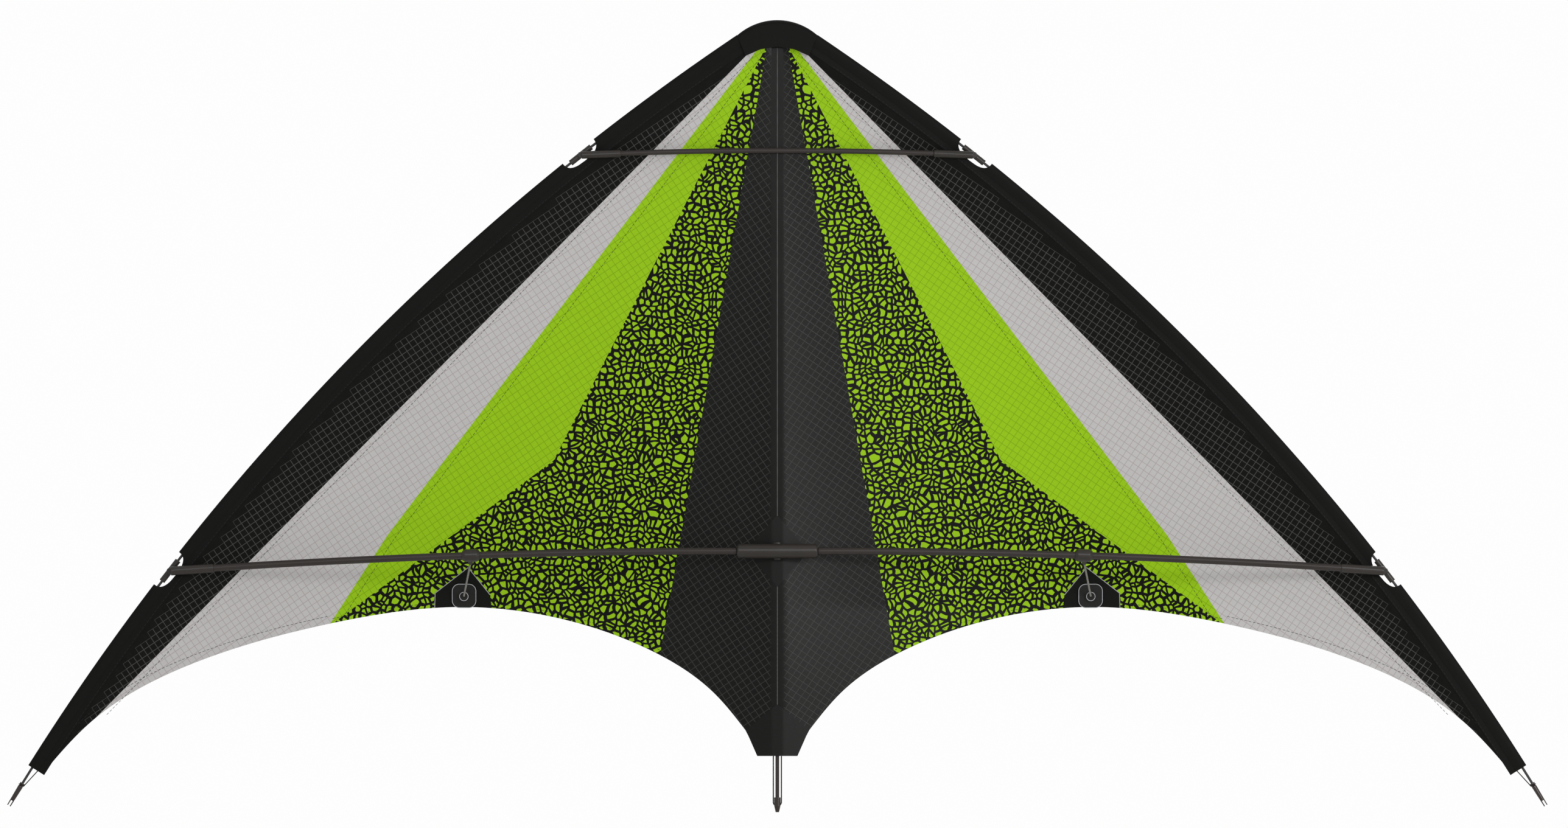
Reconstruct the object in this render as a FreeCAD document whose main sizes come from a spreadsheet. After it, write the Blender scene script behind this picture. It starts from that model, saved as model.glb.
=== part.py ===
"""Two-line delta sport kite: sail, frame and fittings.

Millimetres. +Z runs up the spine to the nose, +X to the kite's right wing as the flyer sees
it, and -Y towards the flyer. The origin is the centre of the centre fitting. The right wing
is modelled, and the left wing is its mirror image in the plane X = 0.
"""

import FreeCAD, Part

import math
import os

from FreeCAD import Placement, Rotation, Vector

# Driving sizes: spreadsheet alias, value in millimetres or degrees, what it is.
SIZES = [
    ("nose_corner_reach", 31.9, "X of the upper end of a leading edge"),
    ("nose_corner_height", 410.4, "Z of the upper end of a leading edge"),
    ("tip_reach", 595.3, "X of the sail's wing tip on the leading edge"),
    ("tip_depth", 170.4, "how far the wing tip lies below the origin"),
    ("edge_bow", 42.4, "how far the leading edge bows out of its chord"),
    ("nose_height", 422.5, "Z of the top of the nose patch"),
    ("tail_depth", 163.0, "how far the sail's tail lies below the origin"),
    ("tail_half_width", 16.0, "half width of the sail's tail"),
    ("dihedral", 4.0, "angle that each wing is swept back"),
    ("billow", 50.0, "how far the sail bellies back at its trailing edge"),
    ("cloth", 0.6, "thickness of the sail cloth as modelled"),
    ("patch_cloth", 0.4, "thickness of the reinforcement patches"),
    ("seam_gap", 0.05, "gap between two cloth pieces that are sewn together"),
    ("fold_gap", 0.35, "gap beside the spine sleeve, along which a wing folds"),
    ("sleeve_half_width", 4.15, "half width of the spine sleeve"),
    ("keel_front", 7.0, "Y of the front of the sail at the spine"),
    ("wing_plane_offset", 1.0, "Y at which the two wing planes meet"),
    ("pocket_width", 14.0, "width of the leading edge pocket"),
    ("pocket_wall", 0.5, "cloth wall over the leading edge rod"),
    ("window_depth", 12.0, "how deep a connector window cuts into the pocket"),
    ("upper_window_length", 31.5, "length of the upper connector window"),
    ("lower_window_length", 32.5, "length of the lower connector window"),
    ("edge_rod_diameter", 2.0, "leading edge rod"),
    ("edge_rod_inset", 3.4, "leading edge rod's axis inside the sail's outline"),
    ("edge_rod_nose_reach", 10.0, "leading edge rod above the end of its pocket"),
    ("edge_rod_tip_reach", 25.5, "leading edge rod below the end of its pocket"),
    ("spine_diameter", 3.0, "spine rod"),
    ("spine_top", 410.0, "Z of the spine rod's upper end"),
    ("spine_bottom_depth", 199.4, "how far the spine rod's lower end lies below the origin"),
    ("rod_clearance", 0.15, "radial gap between a rod and the cloth or bush round it"),
    ("socket_clearance", 0.08, "radial gap between a rod and the fitting it is pushed into"),
    ("pocket_gap", 0.15, "gap between the sail and the edge of the leading edge pocket"),
    ("joint_gap", 0.4, "gap at a rod end that lifts out of its fitting"),
    ("cross_diameter", 11.5, "centre fitting's arms"),
    ("cross_reach", 32.0, "length of each of the centre fitting's arms"),
    ("cross_chamfer", 1.2, "chamfer at the ends of the centre fitting"),
    ("collar_diameter", 7.4, "collar of the centre fitting round the spine"),
    ("collar_height", 14.0, "height of that collar"),
    ("cloth_opening", 16.4, "height of the opening in the cloth for the collar"),
    ("lower_spreader_diameter", 5.6, "lower spreader rods"),
    ("lower_spreader_bow", 4.0, "how far a lower spreader bows up"),
    ("upper_spreader_diameter", 4.2, "upper spreader rod"),
    ("upper_spreader_rise", 3.5, "how far the upper spreader bows up"),
    ("connector_sleeve_length", 21.0, "connector sleeve on the leading edge rod"),
    ("connector_sleeve_diameter", 4.8, "connector sleeve"),
    ("connector_floor", 2.0, "closed end of a connector's socket"),
    ("lower_connector_depth", 15.7, "how far the lower connectors lie below the origin"),
    ("lower_tube_diameter", 7.2, "lower connector's socket tube"),
    ("lower_tube_length", 34.0, "lower connector's socket tube"),
    ("lower_tube_offset", 5.6, "its axis ahead of the leading edge rod"),
    ("upper_connector_height", 315.2, "Z of the upper connectors"),
    ("upper_tube_diameter", 6.0, "upper connector's socket tube"),
    ("upper_tube_length", 31.0, "upper connector's socket tube"),
    ("upper_tube_offset", 5.0, "its axis ahead of the leading edge rod"),
    ("clip_reach", 243.7, "X of the standoff clip on the lower spreader"),
    ("clip_length", 13.9, "standoff clip"),
    ("clip_diameter", 10.2, "standoff clip"),
    ("lug_diameter", 3.8, "spigot of the clip that holds the standoff rod"),
    ("lug_length", 5.0, "that spigot beyond the clip"),
    ("standoff_diameter", 1.6, "standoff rod"),
    ("standoff_foot_reach", 249.0, "X of the standoff socket on the sail"),
    ("standoff_foot_depth", 35.4, "how far the standoff socket lies below the origin"),
    ("socket_plate", 18.8, "side of the standoff socket's rounded square plate"),
    ("socket_corner", 5.6, "corner radius of that plate"),
    ("socket_plate_thickness", 0.9, "that plate"),
    ("plate_gap", 0.55, "gap under that flat plate, which clears the curve of the sail"),
    ("socket_cup_diameter", 6.8, "standoff socket's cup"),
    ("socket_cup_height", 3.5, "cup above the plate"),
    ("nock_length", 21.0, "wing tip nock"),
    ("nock_diameter", 4.0, "wing tip nock at its inner end"),
    ("nock_end_diameter", 3.2, "wing tip nock at its outer end"),
    ("nock_slot_width", 1.6, "slot across the nock's outer end"),
    ("nock_slot_depth", 4.8, "slot across the nock's outer end"),
    ("nock_grip", 11.0, "how far the rod goes into the nock"),
    ("elastic_diameter", 0.8, "wing tip elastic"),
    ("rod_cap_diameter", 3.4, "cap on the upper end of a leading edge rod"),
    ("rod_cap_length", 6.0, "that cap"),
    ("spine_cap_diameter", 4.6, "cap on the upper end of the spine"),
    ("spine_cap_length", 8.0, "that cap"),
    ("tail_cap_top_depth", 195.9, "how far the tail cap's upper end lies below the origin"),
    ("tail_cap_diameter", 5.2, "tail cap"),
    ("tail_cap_end_diameter", 3.1, "tail cap at its lower end"),
    ("tail_cap_length", 11.8, "tail cap"),
    ("tail_cap_taper", 4.9, "length of the tail cap's tapered end"),
    ("tail_line_diameter", 1.0, "tail tension line"),
    ("tail_line_reach", 3.2, "each strand's distance from the spine axis"),
    ("hood_wall", 0.6, "cloth of the nose patch, as modelled"),
    ("hood_rim", 0.8, "rim where the nose patch's two faces are sewn together"),
    ("hood_front", -0.1, "Y of the front of the nose patch"),
    ("hood_back", 12.4, "Y of the back of the nose patch"),
    ("keel_patch_half_width", 25.0, "patch behind the centre fitting"),
    ("keel_patch_half_height", 28.0, "patch behind the centre fitting"),
]

# Corners of the sail's seams as (X, Z), read off the sewn lines of the right wing.
BLACK_GREY_SEAM = [(19.1, 400.0), (587.5, -179.0)]
GREY_GREEN_SEAM = [(15.3, 400.0), (310.0, 12.6), (355.5, -57.6)]
GREEN_PRINT_SEAM = [(9.6, 400.0), (178.0, 72.0), (353.0, -57.1)]
PRINT_KEEL_SEAM = [(8.6, 400.0), (93.5, -83.4)]
# Points of the trailing edge from the tail's corner to the wing tip.
TRAILING_EDGE = [(24.6, -143.5), (51.0, -112.3), (104.0, -77.4), (170.5, -54.2), (250.0, -44.5),
                 (353.0, -57.1), (464.0, -89.1), (545.3, -135.5), (586.3, -179.7)]
# Corners of the standoff patch, from its apex round to the inner shoulder.
STANDOFF_PATCH = [(245.9, -13.1), (272.1, -33.4), (272.4, -60.0), (227.3, -60.0), (228.3, -34.9)]
TAIL_PATCH_PEAK = -122.4
HOOD_ARCH = [(22.0, 396.5), (0.0, 402.0)]

X_AXIS = Vector(1, 0, 0)
Y_AXIS = Vector(0, 1, 0)
Z_AXIS = Vector(0, 0, 1)
FAR = 400.0          # reach of cutting blocks beyond the part
SAIL_TOP = 404.0     # the sail runs this high, inside the nose patch
BILLOW_START = 400.0
BILLOW_POWER = 1.2   # how fast the billow grows from the nose to the trailing edge
BILLOW_FULL = -44.5  # Z below which the billow is complete


class Dim:
    """A length: its value, and the spreadsheet expression that drives it."""

    def __init__(self, value, text):
        self.value = float(value)
        self.text = text

    def join(self, other, sign, value):
        text = other.text if isinstance(other, Dim) else repr(other)
        return Dim(value, "(%s %s %s)" % (self.text, sign, text))

    def __add__(self, other):
        return self.join(other, "+", self.value + number(other))

    def __sub__(self, other):
        return self.join(other, "-", self.value - number(other))

    def __mul__(self, other):
        return self.join(other, "*", self.value * number(other))

    def __truediv__(self, other):
        return self.join(other, "/", self.value / number(other))


def number(size):
    """The plain value of a Dim or a number."""
    return size.value if isinstance(size, Dim) else float(size)


def make_sheet(doc):
    """The spreadsheet of driving sizes."""
    sheet = doc.addObject("Spreadsheet::Sheet", "Sizes")
    for row, (alias, value, meaning) in enumerate(SIZES, start=1):
        sheet.set("A%d" % row, meaning)
        sheet.set("B%d" % row, str(value))
        sheet.setAlias("B%d" % row, alias)
    doc.recompute()
    return sheet


DOC = FreeCAD.newDocument("delta_kite")
SHEET = make_sheet(DOC)
NODES = []           # the objects that are written out, one per node


def cell(alias):
    """A driving size, with its value and its expression."""
    return Dim(SHEET.get(alias), "Sizes." + alias)


def size(alias):
    """A driving size as a plain number."""
    return float(SHEET.get(alias))


def bind(obj, name, dim):
    """Set a property, and tie it to the spreadsheet when it is a Dim."""
    if isinstance(dim, Dim):
        obj.setExpression(name, dim.text)
    else:
        setattr(obj, name, dim)


def node(obj, label):
    """Name an object as a node of the part."""
    obj.Label = label
    NODES.append(obj)
    return obj


def node_pair(obj, label):
    """Name a right-wing object as a node, and add its mirror image as the left wing's."""
    node(obj, label + "_right")
    mirror = DOC.addObject("Part::Mirroring", label + "_mirror")
    mirror.Source = obj
    mirror.Base = Vector(0, 0, 0)
    mirror.Normal = X_AXIS
    node(mirror, label + "_left")


def frame(origin, z_dir, x_dir):
    """A placement with its Z axis along z_dir and its X axis as near x_dir as it can be."""
    y_dir = z_dir.cross(x_dir).normalize()
    return Placement(origin, Rotation(y_dir.cross(z_dir), y_dir, z_dir, "ZXY"))


def cylinder(name, radius, height, place=None):
    """A Part cylinder along its placement's Z axis."""
    shape = DOC.addObject("Part::Cylinder", name)
    bind(shape, "Radius", radius)
    bind(shape, "Height", height)
    if place is not None:
        shape.Placement = place
    return shape


def boolean(kind, name, base, tool):
    """A Part boolean of two objects: kind is Cut, Fuse or Common."""
    result = DOC.addObject("Part::" + kind, name)
    result.Base = base
    result.Tool = tool
    return result


def fixed_shape(name, shape):
    """A Part feature that holds a shape made with Part's own functions."""
    feature = DOC.addObject("Part::Feature", name)
    feature.Shape = shape
    feature.Placement = Placement()
    return feature


def body_with_sketch(name, role):
    """A PartDesign body with an empty sketch on one of its own origin planes."""
    body = DOC.addObject("PartDesign::Body", name)
    sketch = add_sketch(body, name + "_profile", role)
    return body, sketch


def add_sketch(body, name, role):
    """A sketch of a body, attached to the body's origin plane of that role."""
    sketch = body.newObject("Sketcher::SketchObject", name)
    plane = [item for item in body.Origin.OriginFeatures if item.Role == role][0]
    sketch.AttachmentSupport = [(plane, "")]
    sketch.MapMode = "FlatFace"
    return sketch


def pin_point(sketch, geometry, point, dims):
    """Tie a sketch point to the sketch's origin by its X and Y dims."""
    import Sketcher
    for kind, axis, dim in (("DistanceX", -2, dims[0]), ("DistanceY", -1, dims[1])):
        value = number(dim)
        if abs(value) < 1e-9:
            sketch.addConstraint(Sketcher.Constraint("PointOnObject", geometry, point, axis))
            continue
        ends = (-1, 1, geometry, point) if value > 0 else (geometry, point, -1, 1)
        index = sketch.addConstraint(Sketcher.Constraint(kind, *ends, abs(value)))
        if isinstance(dim, Dim):
            text = dim.text if value > 0 else "-(%s)" % dim.text
            sketch.setExpression("Constraints[%d]" % index, text)


def draw_polygon(sketch, corners):
    """A closed outline of straight lines, with each corner tied to its dims."""
    import Sketcher
    count = len(corners)
    points = [Vector(number(x), number(y), 0) for x, y in corners]
    first = sketch.GeometryCount
    for index in range(count):
        sketch.addGeometry(Part.LineSegment(points[index], points[(index + 1) % count]), False)
    for index in range(count):
        sketch.addConstraint(Sketcher.Constraint(
            "Coincident", first + index, 2, first + (index + 1) % count, 1))
    for index, corner in enumerate(corners):
        pin_point(sketch, first + index, 1, corner)


def draw_circle(sketch, x, y, radius):
    """A circle with its centre and radius tied to their dims."""
    import Sketcher
    circle = Part.Circle(Vector(number(x), number(y), 0), Vector(0, 0, 1), number(radius))
    index = sketch.addGeometry(circle, False)
    place = sketch.addConstraint(Sketcher.Constraint("Radius", index, number(radius)))
    if isinstance(radius, Dim):
        sketch.setExpression("Constraints[%d]" % place, radius.text)
    pin_point(sketch, index, 3, (x, y))


def revolve(body, sketch, angle=360.0):
    """Revolve a sketch about its own vertical axis."""
    feature = body.newObject("PartDesign::Revolution", body.Name + "_turned")
    feature.Profile = sketch
    feature.ReferenceAxis = (sketch, ["V_Axis"])
    feature.Angle = angle
    return feature


def turned_body(name, corners, place):
    """A body turned from a profile of (radius, height) corners about its Z axis."""
    body, sketch = body_with_sketch(name, "XZ_Plane")
    draw_polygon(sketch, corners)
    revolve(body, sketch)
    body.Placement = place
    return body


# ---------------------------------------------------------------- the wing's construction lines

class WingEdge:
    """The right wing's plane, and the circular arc of its leading edge in that plane."""

    def __init__(self):
        angle = math.radians(size("dihedral"))
        self.out = Vector(math.cos(angle), math.sin(angle), 0)
        self.ahead = self.out.cross(Z_AXIS)
        self.base = Vector(0, size("wing_plane_offset"), 0)
        nose = self.plane_point(size("nose_corner_reach"), size("nose_corner_height"))
        tip = self.plane_point(size("tip_reach"), -size("tip_depth"))
        chord = nose - tip
        bow = size("edge_bow")
        self.radius = (chord.Length ** 2 / 4 + bow ** 2) / (2 * bow)
        inward = self.ahead.cross(chord).normalize()
        self.centre = (nose + tip) * 0.5 + inward * (self.radius - bow)
        self.tip_angle = self.angle_of(tip)
        self.nose_angle = self.angle_of(nose)

    def plane_point(self, x, z):
        """The point of the wing plane at X and Z."""
        return self.base + self.out * (x / self.out.x) + Z_AXIS * z

    def angle_of(self, point):
        """The arc angle of a point, from the outward direction towards +Z."""
        ray = point - self.centre
        return math.atan2(ray.dot(Z_AXIS), ray.dot(self.out))

    def radial(self, angle):
        """The unit vector from the arc's centre at an arc angle."""
        return self.out * math.cos(angle) + Z_AXIS * math.sin(angle)

    def point(self, angle, inset):
        """A point that lies inside the sail's outline by inset."""
        return self.centre + self.radial(angle) * (self.radius - inset)

    def tangent(self, angle):
        """The direction along the arc, from the tip towards the nose."""
        return self.ahead.cross(self.radial(angle))

    def angle_at_height(self, height, inset):
        """The arc angle at which the arc that lies inside by inset reaches a height."""
        return math.asin((height - self.centre.z) / (self.radius - inset))

    def turn(self, length):
        """The arc angle of a length along the leading edge."""
        return length / self.radius

    def frame_at(self, angle):
        """A placement at the arc's centre, with X to the arc at that angle."""
        return frame(self.centre, self.ahead, self.radial(angle))

    def reach(self, height, inset):
        """X of the arc that lies inside the outline by inset, at a height."""
        return self.point(self.angle_at_height(height, inset), inset).x


EDGE = WingEdge()


class Bend:
    """A rod's circular arc from one end to the other, bowed in a given direction."""

    def __init__(self, start, end, bow):
        chord = end - start
        self.radius = (chord.Length ** 2 / 4 + bow.Length ** 2) / (2 * bow.Length)
        toward = Vector(bow).normalize()
        self.centre = (start + end) * 0.5 - toward * (self.radius - bow.Length)
        self.angle = 2 * math.asin(chord.Length / (2 * self.radius))
        self.first = (start - self.centre).normalize()
        self.axis = self.first.cross((end - self.centre).normalize()).normalize()

    def ray(self, turn):
        """The unit vector from the arc's centre, turned from the start."""
        return Rotation(self.axis, math.degrees(turn)).multVec(self.first)

    def point(self, turn):
        """The point of the arc at that turn from the start."""
        return self.centre + self.ray(turn) * self.radius

    def tangent(self, turn):
        """The direction of travel at that turn."""
        return self.axis.cross(self.ray(turn))

    def turn_at_x(self, x):
        """The turn at which the arc reaches X, found by halving."""
        low, high = 0.0, self.angle
        for _ in range(60):
            middle = (low + high) / 2
            if (self.point(middle).x < x) == (self.point(high).x > self.point(low).x):
                low = middle
            else:
                high = middle
        return low


def bent_rod(name, centre, axis, first, bend_radius, rod_radius, sweep):
    """A round rod along a circular arc: a slice of a torus."""
    rod = DOC.addObject("Part::Torus", name)
    rod.Radius1 = bend_radius
    bind(rod, "Radius2", rod_radius)
    rod.Angle3 = math.degrees(sweep)
    rod.Placement = frame(centre, axis, first)
    return rod


# ---------------------------------------------------------------- spine, root of the frame

SPINE_Y = size("keel_front") + size("cloth") + size("rod_clearance") + size("spine_diameter") / 2


def make_spine():
    """The spine rod with the cap on its upper end."""
    radius = cell("spine_diameter") / 2
    length = cell("spine_top") + cell("spine_bottom_depth")
    low = Vector(0, SPINE_Y, -size("spine_bottom_depth"))
    node(cylinder("spine_rod", radius, length, Placement(low, Rotation())), "spine_rod")

    outside = cell("spine_cap_diameter") / 2
    bore = radius + cell("socket_clearance")
    length = cell("spine_cap_length")
    floor = length * 0.75
    corners = [(bore, 0), (outside, 0), (outside, length), (0, length), (0, floor), (bore, floor)]
    base = Vector(0, SPINE_Y, size("spine_top") - size("spine_cap_length") * 0.75)
    node(turned_body("spine_top_cap", corners, Placement(base, Rotation())), "spine_top_cap")


def make_sleeve(label, low, high):
    """One length of the cloth sleeve that holds the spine behind the centre seam."""
    body, sketch = body_with_sketch(label, "XY_Plane")
    half = cell("sleeve_half_width")
    front = cell("keel_front")
    wall = cell("cloth")
    bore = cell("spine_diameter") / 2 + cell("rod_clearance")
    axis = front + wall + bore
    back = axis + bore + wall
    draw_polygon(sketch, [(half * -1, front), (half, front), (half, back), (half * -1, back)])
    draw_circle(sketch, 0, axis, bore)
    pad = body.newObject("PartDesign::Pad", label + "_pad")
    pad.Profile = sketch
    pad.Length = high - low
    body.Placement = Placement(Vector(0, 0, low), Rotation())
    node(body, label)


def make_tail_cap():
    """The end cap on the spine, slotted across its lower end for the tension line."""
    wide = cell("tail_cap_diameter") / 2
    narrow = cell("tail_cap_end_diameter") / 2
    length = cell("tail_cap_length")
    taper = cell("tail_cap_taper")
    bore = cell("spine_diameter") / 2 + cell("socket_clearance")
    grip = size("spine_bottom_depth") - size("tail_cap_top_depth") + size("socket_clearance")
    floor = length - grip
    corners = [(0, 0), (narrow, 0), (wide, taper), (wide, length), (bore, length),
               (bore, floor), (0, floor)]
    bottom = -size("tail_cap_top_depth") - size("tail_cap_length")
    place = Placement(Vector(0, SPINE_Y, bottom), Rotation())
    body = turned_body("tail_cap", corners, place)
    slot = add_sketch(body, "tail_cap_slot", "YZ_Plane")
    half = cell("tail_line_diameter") / 2 + cell("rod_clearance")
    top = tail_line_bottom() - bottom + size("tail_line_diameter") * 2.3
    draw_polygon(slot, [(half * -1, -1.0), (half, -1.0), (half, top), (half * -1, top)])
    cut_through(body, slot)
    node(body, "tail_cap")


def cut_through(body, sketch):
    """Pocket a sketch through the whole body, both ways from its plane."""
    pocket = body.newObject("PartDesign::Pocket", sketch.Name + "_cut")
    pocket.Profile = sketch
    pocket.Type = "ThroughAll"
    pocket.Midplane = True
    body.Tip = pocket
    return pocket


def tail_line_bottom():
    """Z of the axis of the tension line where it crosses the tail cap."""
    return -size("tail_cap_top_depth") - size("tail_cap_length") + size("tail_cap_taper")


def make_tail_line():
    """The tension line: down one side of the spine, round under the cap and up again."""
    reach = size("tail_line_reach")
    top = -size("tail_depth") - size("seam_gap")
    turn_z = tail_line_bottom() + reach
    start = Vector(-reach, SPINE_Y, top)
    arc = Part.Arc(Vector(-reach, SPINE_Y, turn_z), Vector(0, SPINE_Y, turn_z - reach),
                   Vector(reach, SPINE_Y, turn_z))
    path = Part.Wire([
        Part.LineSegment(start, Vector(-reach, SPINE_Y, turn_z)).toShape(),
        arc.toShape(),
        Part.LineSegment(Vector(reach, SPINE_Y, turn_z), Vector(reach, SPINE_Y, top)).toShape()])
    section = Part.Wire(Part.makeCircle(size("tail_line_diameter") / 2, start, Z_AXIS))
    tube = path.makePipeShell([section], True, False)
    full = math.pi * (size("tail_line_diameter") / 2) ** 2 * path.Length
    print("tail line length %.1f, volume ratio %.4f" % (path.Length, tube.Volume / full))
    node(fixed_shape("tail_tension_line", tube), "tail_tension_line")


def make_centre_cross():
    """The centre fitting: two swept-back arms in front of the sail, a collar on the spine."""
    arms = []
    radius = cell("cross_diameter") / 2
    chamfer = cell("cross_chamfer")
    length = cell("cross_reach")
    corners = [(0, 0), (radius, 0), (radius, length - chamfer), (radius - chamfer, length),
               (0, length)]
    for name, side in (("cross_arm_right", 1), ("cross_arm_left", -1)):
        direction = Vector(side * SPREADER_OUT.x, SPREADER_OUT.y, SPREADER_OUT.z)
        arms.append(turned_body(name, corners, frame(Vector(0, 0, 0), direction, Z_AXIS)))
    bar = boolean("Fuse", "cross_bar", arms[0], arms[1])

    height = cell("collar_height")
    place = Placement(Vector(0, SPINE_Y, -size("collar_height") / 2), Rotation())
    collar = cylinder("cross_collar", cell("collar_diameter") / 2, height, place)
    web = DOC.addObject("Part::Box", "cross_web")
    bind(web, "Length", cell("collar_diameter"))
    web.Width = SPINE_Y
    bind(web, "Height", cell("collar_height") * 0.7)
    web.Placement = Placement(
        Vector(-size("collar_diameter") / 2, 0, -size("collar_height") * 0.35), Rotation())
    stem = boolean("Fuse", "cross_stem", collar, web)
    solid = boolean("Fuse", "cross_solid", bar, stem)
    bore_place = Placement(Vector(0, SPINE_Y, -size("collar_height")), Rotation())
    bore = cylinder("cross_bore", cell("spine_diameter") / 2 + cell("socket_clearance"),
                    height * 2, bore_place)
    node(boolean("Cut", "centre_cross", solid, bore), "centre_cross")


# ---------------------------------------------------------------- sail cloth

def billow(height):
    """How far the sail bellies back at a height."""
    share = (BILLOW_START - height) / (BILLOW_START - BILLOW_FULL)
    return size("billow") * min(max(share, 0.0), 1.0) ** BILLOW_POWER


def fold_line():
    """X of the line along which the right wing folds."""
    return size("sleeve_half_width") + size("fold_gap")


def sail_front(x, height):
    """Y of the sail's front face at X and Z, right wing."""
    inner = fold_line()
    outer = EDGE.reach(height, size("pocket_width"))
    share = (x - inner) / (outer - inner)
    plane = EDGE.plane_point(x, height).y - size("cloth") / 2
    flat = size("keel_front") * (1 - share) + plane * share
    return flat + billow(height) * 4 * share * (1 - share)


def sail_solid(shift, thickness):
    """The right wing's whole sail as one sheet, its front face moved by shift along Y."""
    columns, rows = 13, 25
    inner = fold_line()
    bottom = -size("tip_depth") - 14.0
    grid = []
    for row in range(rows):
        height = bottom + (SAIL_TOP - bottom) * row / (rows - 1)
        outer = EDGE.reach(height, size("pocket_width")) - size("pocket_gap")
        line = []
        for column in range(columns):
            x = inner + (outer - inner) * column / (columns - 1)
            line.append(Vector(x, sail_front(x, height) + shift, height))
        grid.append(line)
    surface = Part.BSplineSurface()
    surface.interpolate(grid)
    return surface.toShape().extrude(Vector(0, thickness, 0))


def prism(edges):
    """A block along Y whose outline in X and Z is a closed run of edges."""
    wire = Part.Wire(Part.sortEdges(edges)[0])
    return Part.Face(wire).extrude(Vector(0, 2 * FAR, 0))


def line_edges(corners):
    """Straight edges through (X, Z) corners, on the plane in front of the part."""
    points = [Vector(x, -FAR, z) for x, z in corners]
    return [Part.LineSegment(a, b).toShape() for a, b in zip(points, points[1:])]


def outline_block():
    """Everything above the trailing edge: the sail's outline on its lower side."""
    points = [Vector(x, -FAR, z) for x, z in TRAILING_EDGE]
    curve = Part.BSplineCurve()
    curve.interpolate(points)
    first, last = TRAILING_EDGE[0], TRAILING_EDGE[-1]
    tail = (size("tail_half_width"), -size("tail_depth"))
    # Past the last point the block follows the pocket's end, along the arc's radius.
    radial = EDGE.radial(EDGE.tip_angle)
    beyond = (last[0] + radial.x * 60, last[1] + radial.z * 60)
    corners = [last, beyond, (FAR * 2, FAR * 2), (-1.0, FAR * 2), (-1.0, tail[1]), tail, first]
    return prism([curve.toShape()] + line_edges(corners))


def outer_block(seam):
    """Everything on the wing tip's side of a seam, a run of (X, Z) corners from the nose down."""
    outside = [(FAR * 2, -FAR), (FAR * 2, FAR * 2), (seam[0][0], FAR * 2)]
    return prism(line_edges(seam + [(seam[-1][0], -FAR)] + outside + seam[:1]))


def stretched(seam):
    """A seam carried on past both of its ends, so that it cuts right through the sheet."""
    first, second = seam[0], seam[1]
    before, last = seam[-2], seam[-1]
    up = 12.0 / (first[1] - second[1])
    down = 60.0 / (before[1] - last[1])
    head = (first[0] + (first[0] - second[0]) * up, first[1] + 12.0)
    foot = (last[0] + (last[0] - before[0]) * down, last[1] - 60.0)
    return [head] + seam + [foot]


def make_panels():
    """The five sewn panels of the right wing's sail, cut from one sheet."""
    rest = sail_solid(0.0, size("cloth")).common(outline_block())
    seams = [("panel_black_edge", BLACK_GREY_SEAM), ("panel_grey", GREY_GREEN_SEAM),
             ("panel_green", GREEN_PRINT_SEAM), ("panel_print", PRINT_KEEL_SEAM)]
    for label, seam in seams:
        block = outer_block(stretched(seam))
        node_pair(fixed_shape(label, largest(rest.common(block))), label)
        rest = rest.cut(block)
    node_pair(fixed_shape("panel_keel", largest(rest)), "panel_keel")


def largest(shape):
    """The largest solid of a shape, without the slivers of a cut."""
    return max(shape.Solids, key=lambda solid: solid.Volume)


def both_wings(half, strip):
    """A patch across the spine: its right half, the mirror of that, and the strip between."""
    left = half.mirror(Vector(0, 0, 0), X_AXIS)
    return largest(half.fuse([left, strip]).removeSplitter())


def patch_sheet():
    """A sheet that lies on the front of the right wing's sail, for the patches."""
    return sail_solid(-size("patch_cloth") - size("seam_gap"), size("patch_cloth"))


def centre_strip(low, high):
    """The part of a patch that lies across the spine, between the two fold lines."""
    front = size("keel_front") - size("patch_cloth") - size("seam_gap")
    corner = Vector(-fold_line(), front, low)
    return Part.makeBox(2 * fold_line(), size("patch_cloth"), high - low, corner)


def patch_outline(corners):
    """The block of a patch symmetric about the spine, from its right half's corners."""
    mirrored = [(-x, z) for x, z in reversed(corners) if x > 0]
    loop = corners + mirrored
    return prism(line_edges(loop + loop[:1]))


def make_patches():
    """The patches behind the centre fitting, at the tail and at the standoff."""
    sheet = patch_sheet()
    half_width, half_height = size("keel_patch_half_width"), size("keel_patch_half_height")
    outline = patch_outline([(0, half_height), (half_width, 0), (0, -half_height)])
    opening = Part.makeBox(2 * fold_line(), 2 * FAR, size("cloth_opening"),
                           Vector(-fold_line(), -FAR, -size("cloth_opening") / 2))
    strip = centre_strip(-half_height, half_height)
    whole = both_wings(sheet, strip).common(outline)
    node(fixed_shape("keel_patch", largest(whole.cut(opening))), "keel_patch")

    tail = (size("tail_half_width"), -size("tail_depth"))
    outline = patch_outline([(0, TAIL_PATCH_PEAK), TRAILING_EDGE[0], tail])
    strip = centre_strip(tail[1], TAIL_PATCH_PEAK)
    whole = both_wings(sheet, strip).common(outline)
    node(fixed_shape("tail_patch", largest(whole)), "tail_patch")

    edges = line_edges(STANDOFF_PATCH + STANDOFF_PATCH[:1])
    shape = largest(sheet.common(prism(edges)).common(outline_block()))
    node_pair(fixed_shape("standoff_patch", shape), "standoff_patch")


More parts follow.
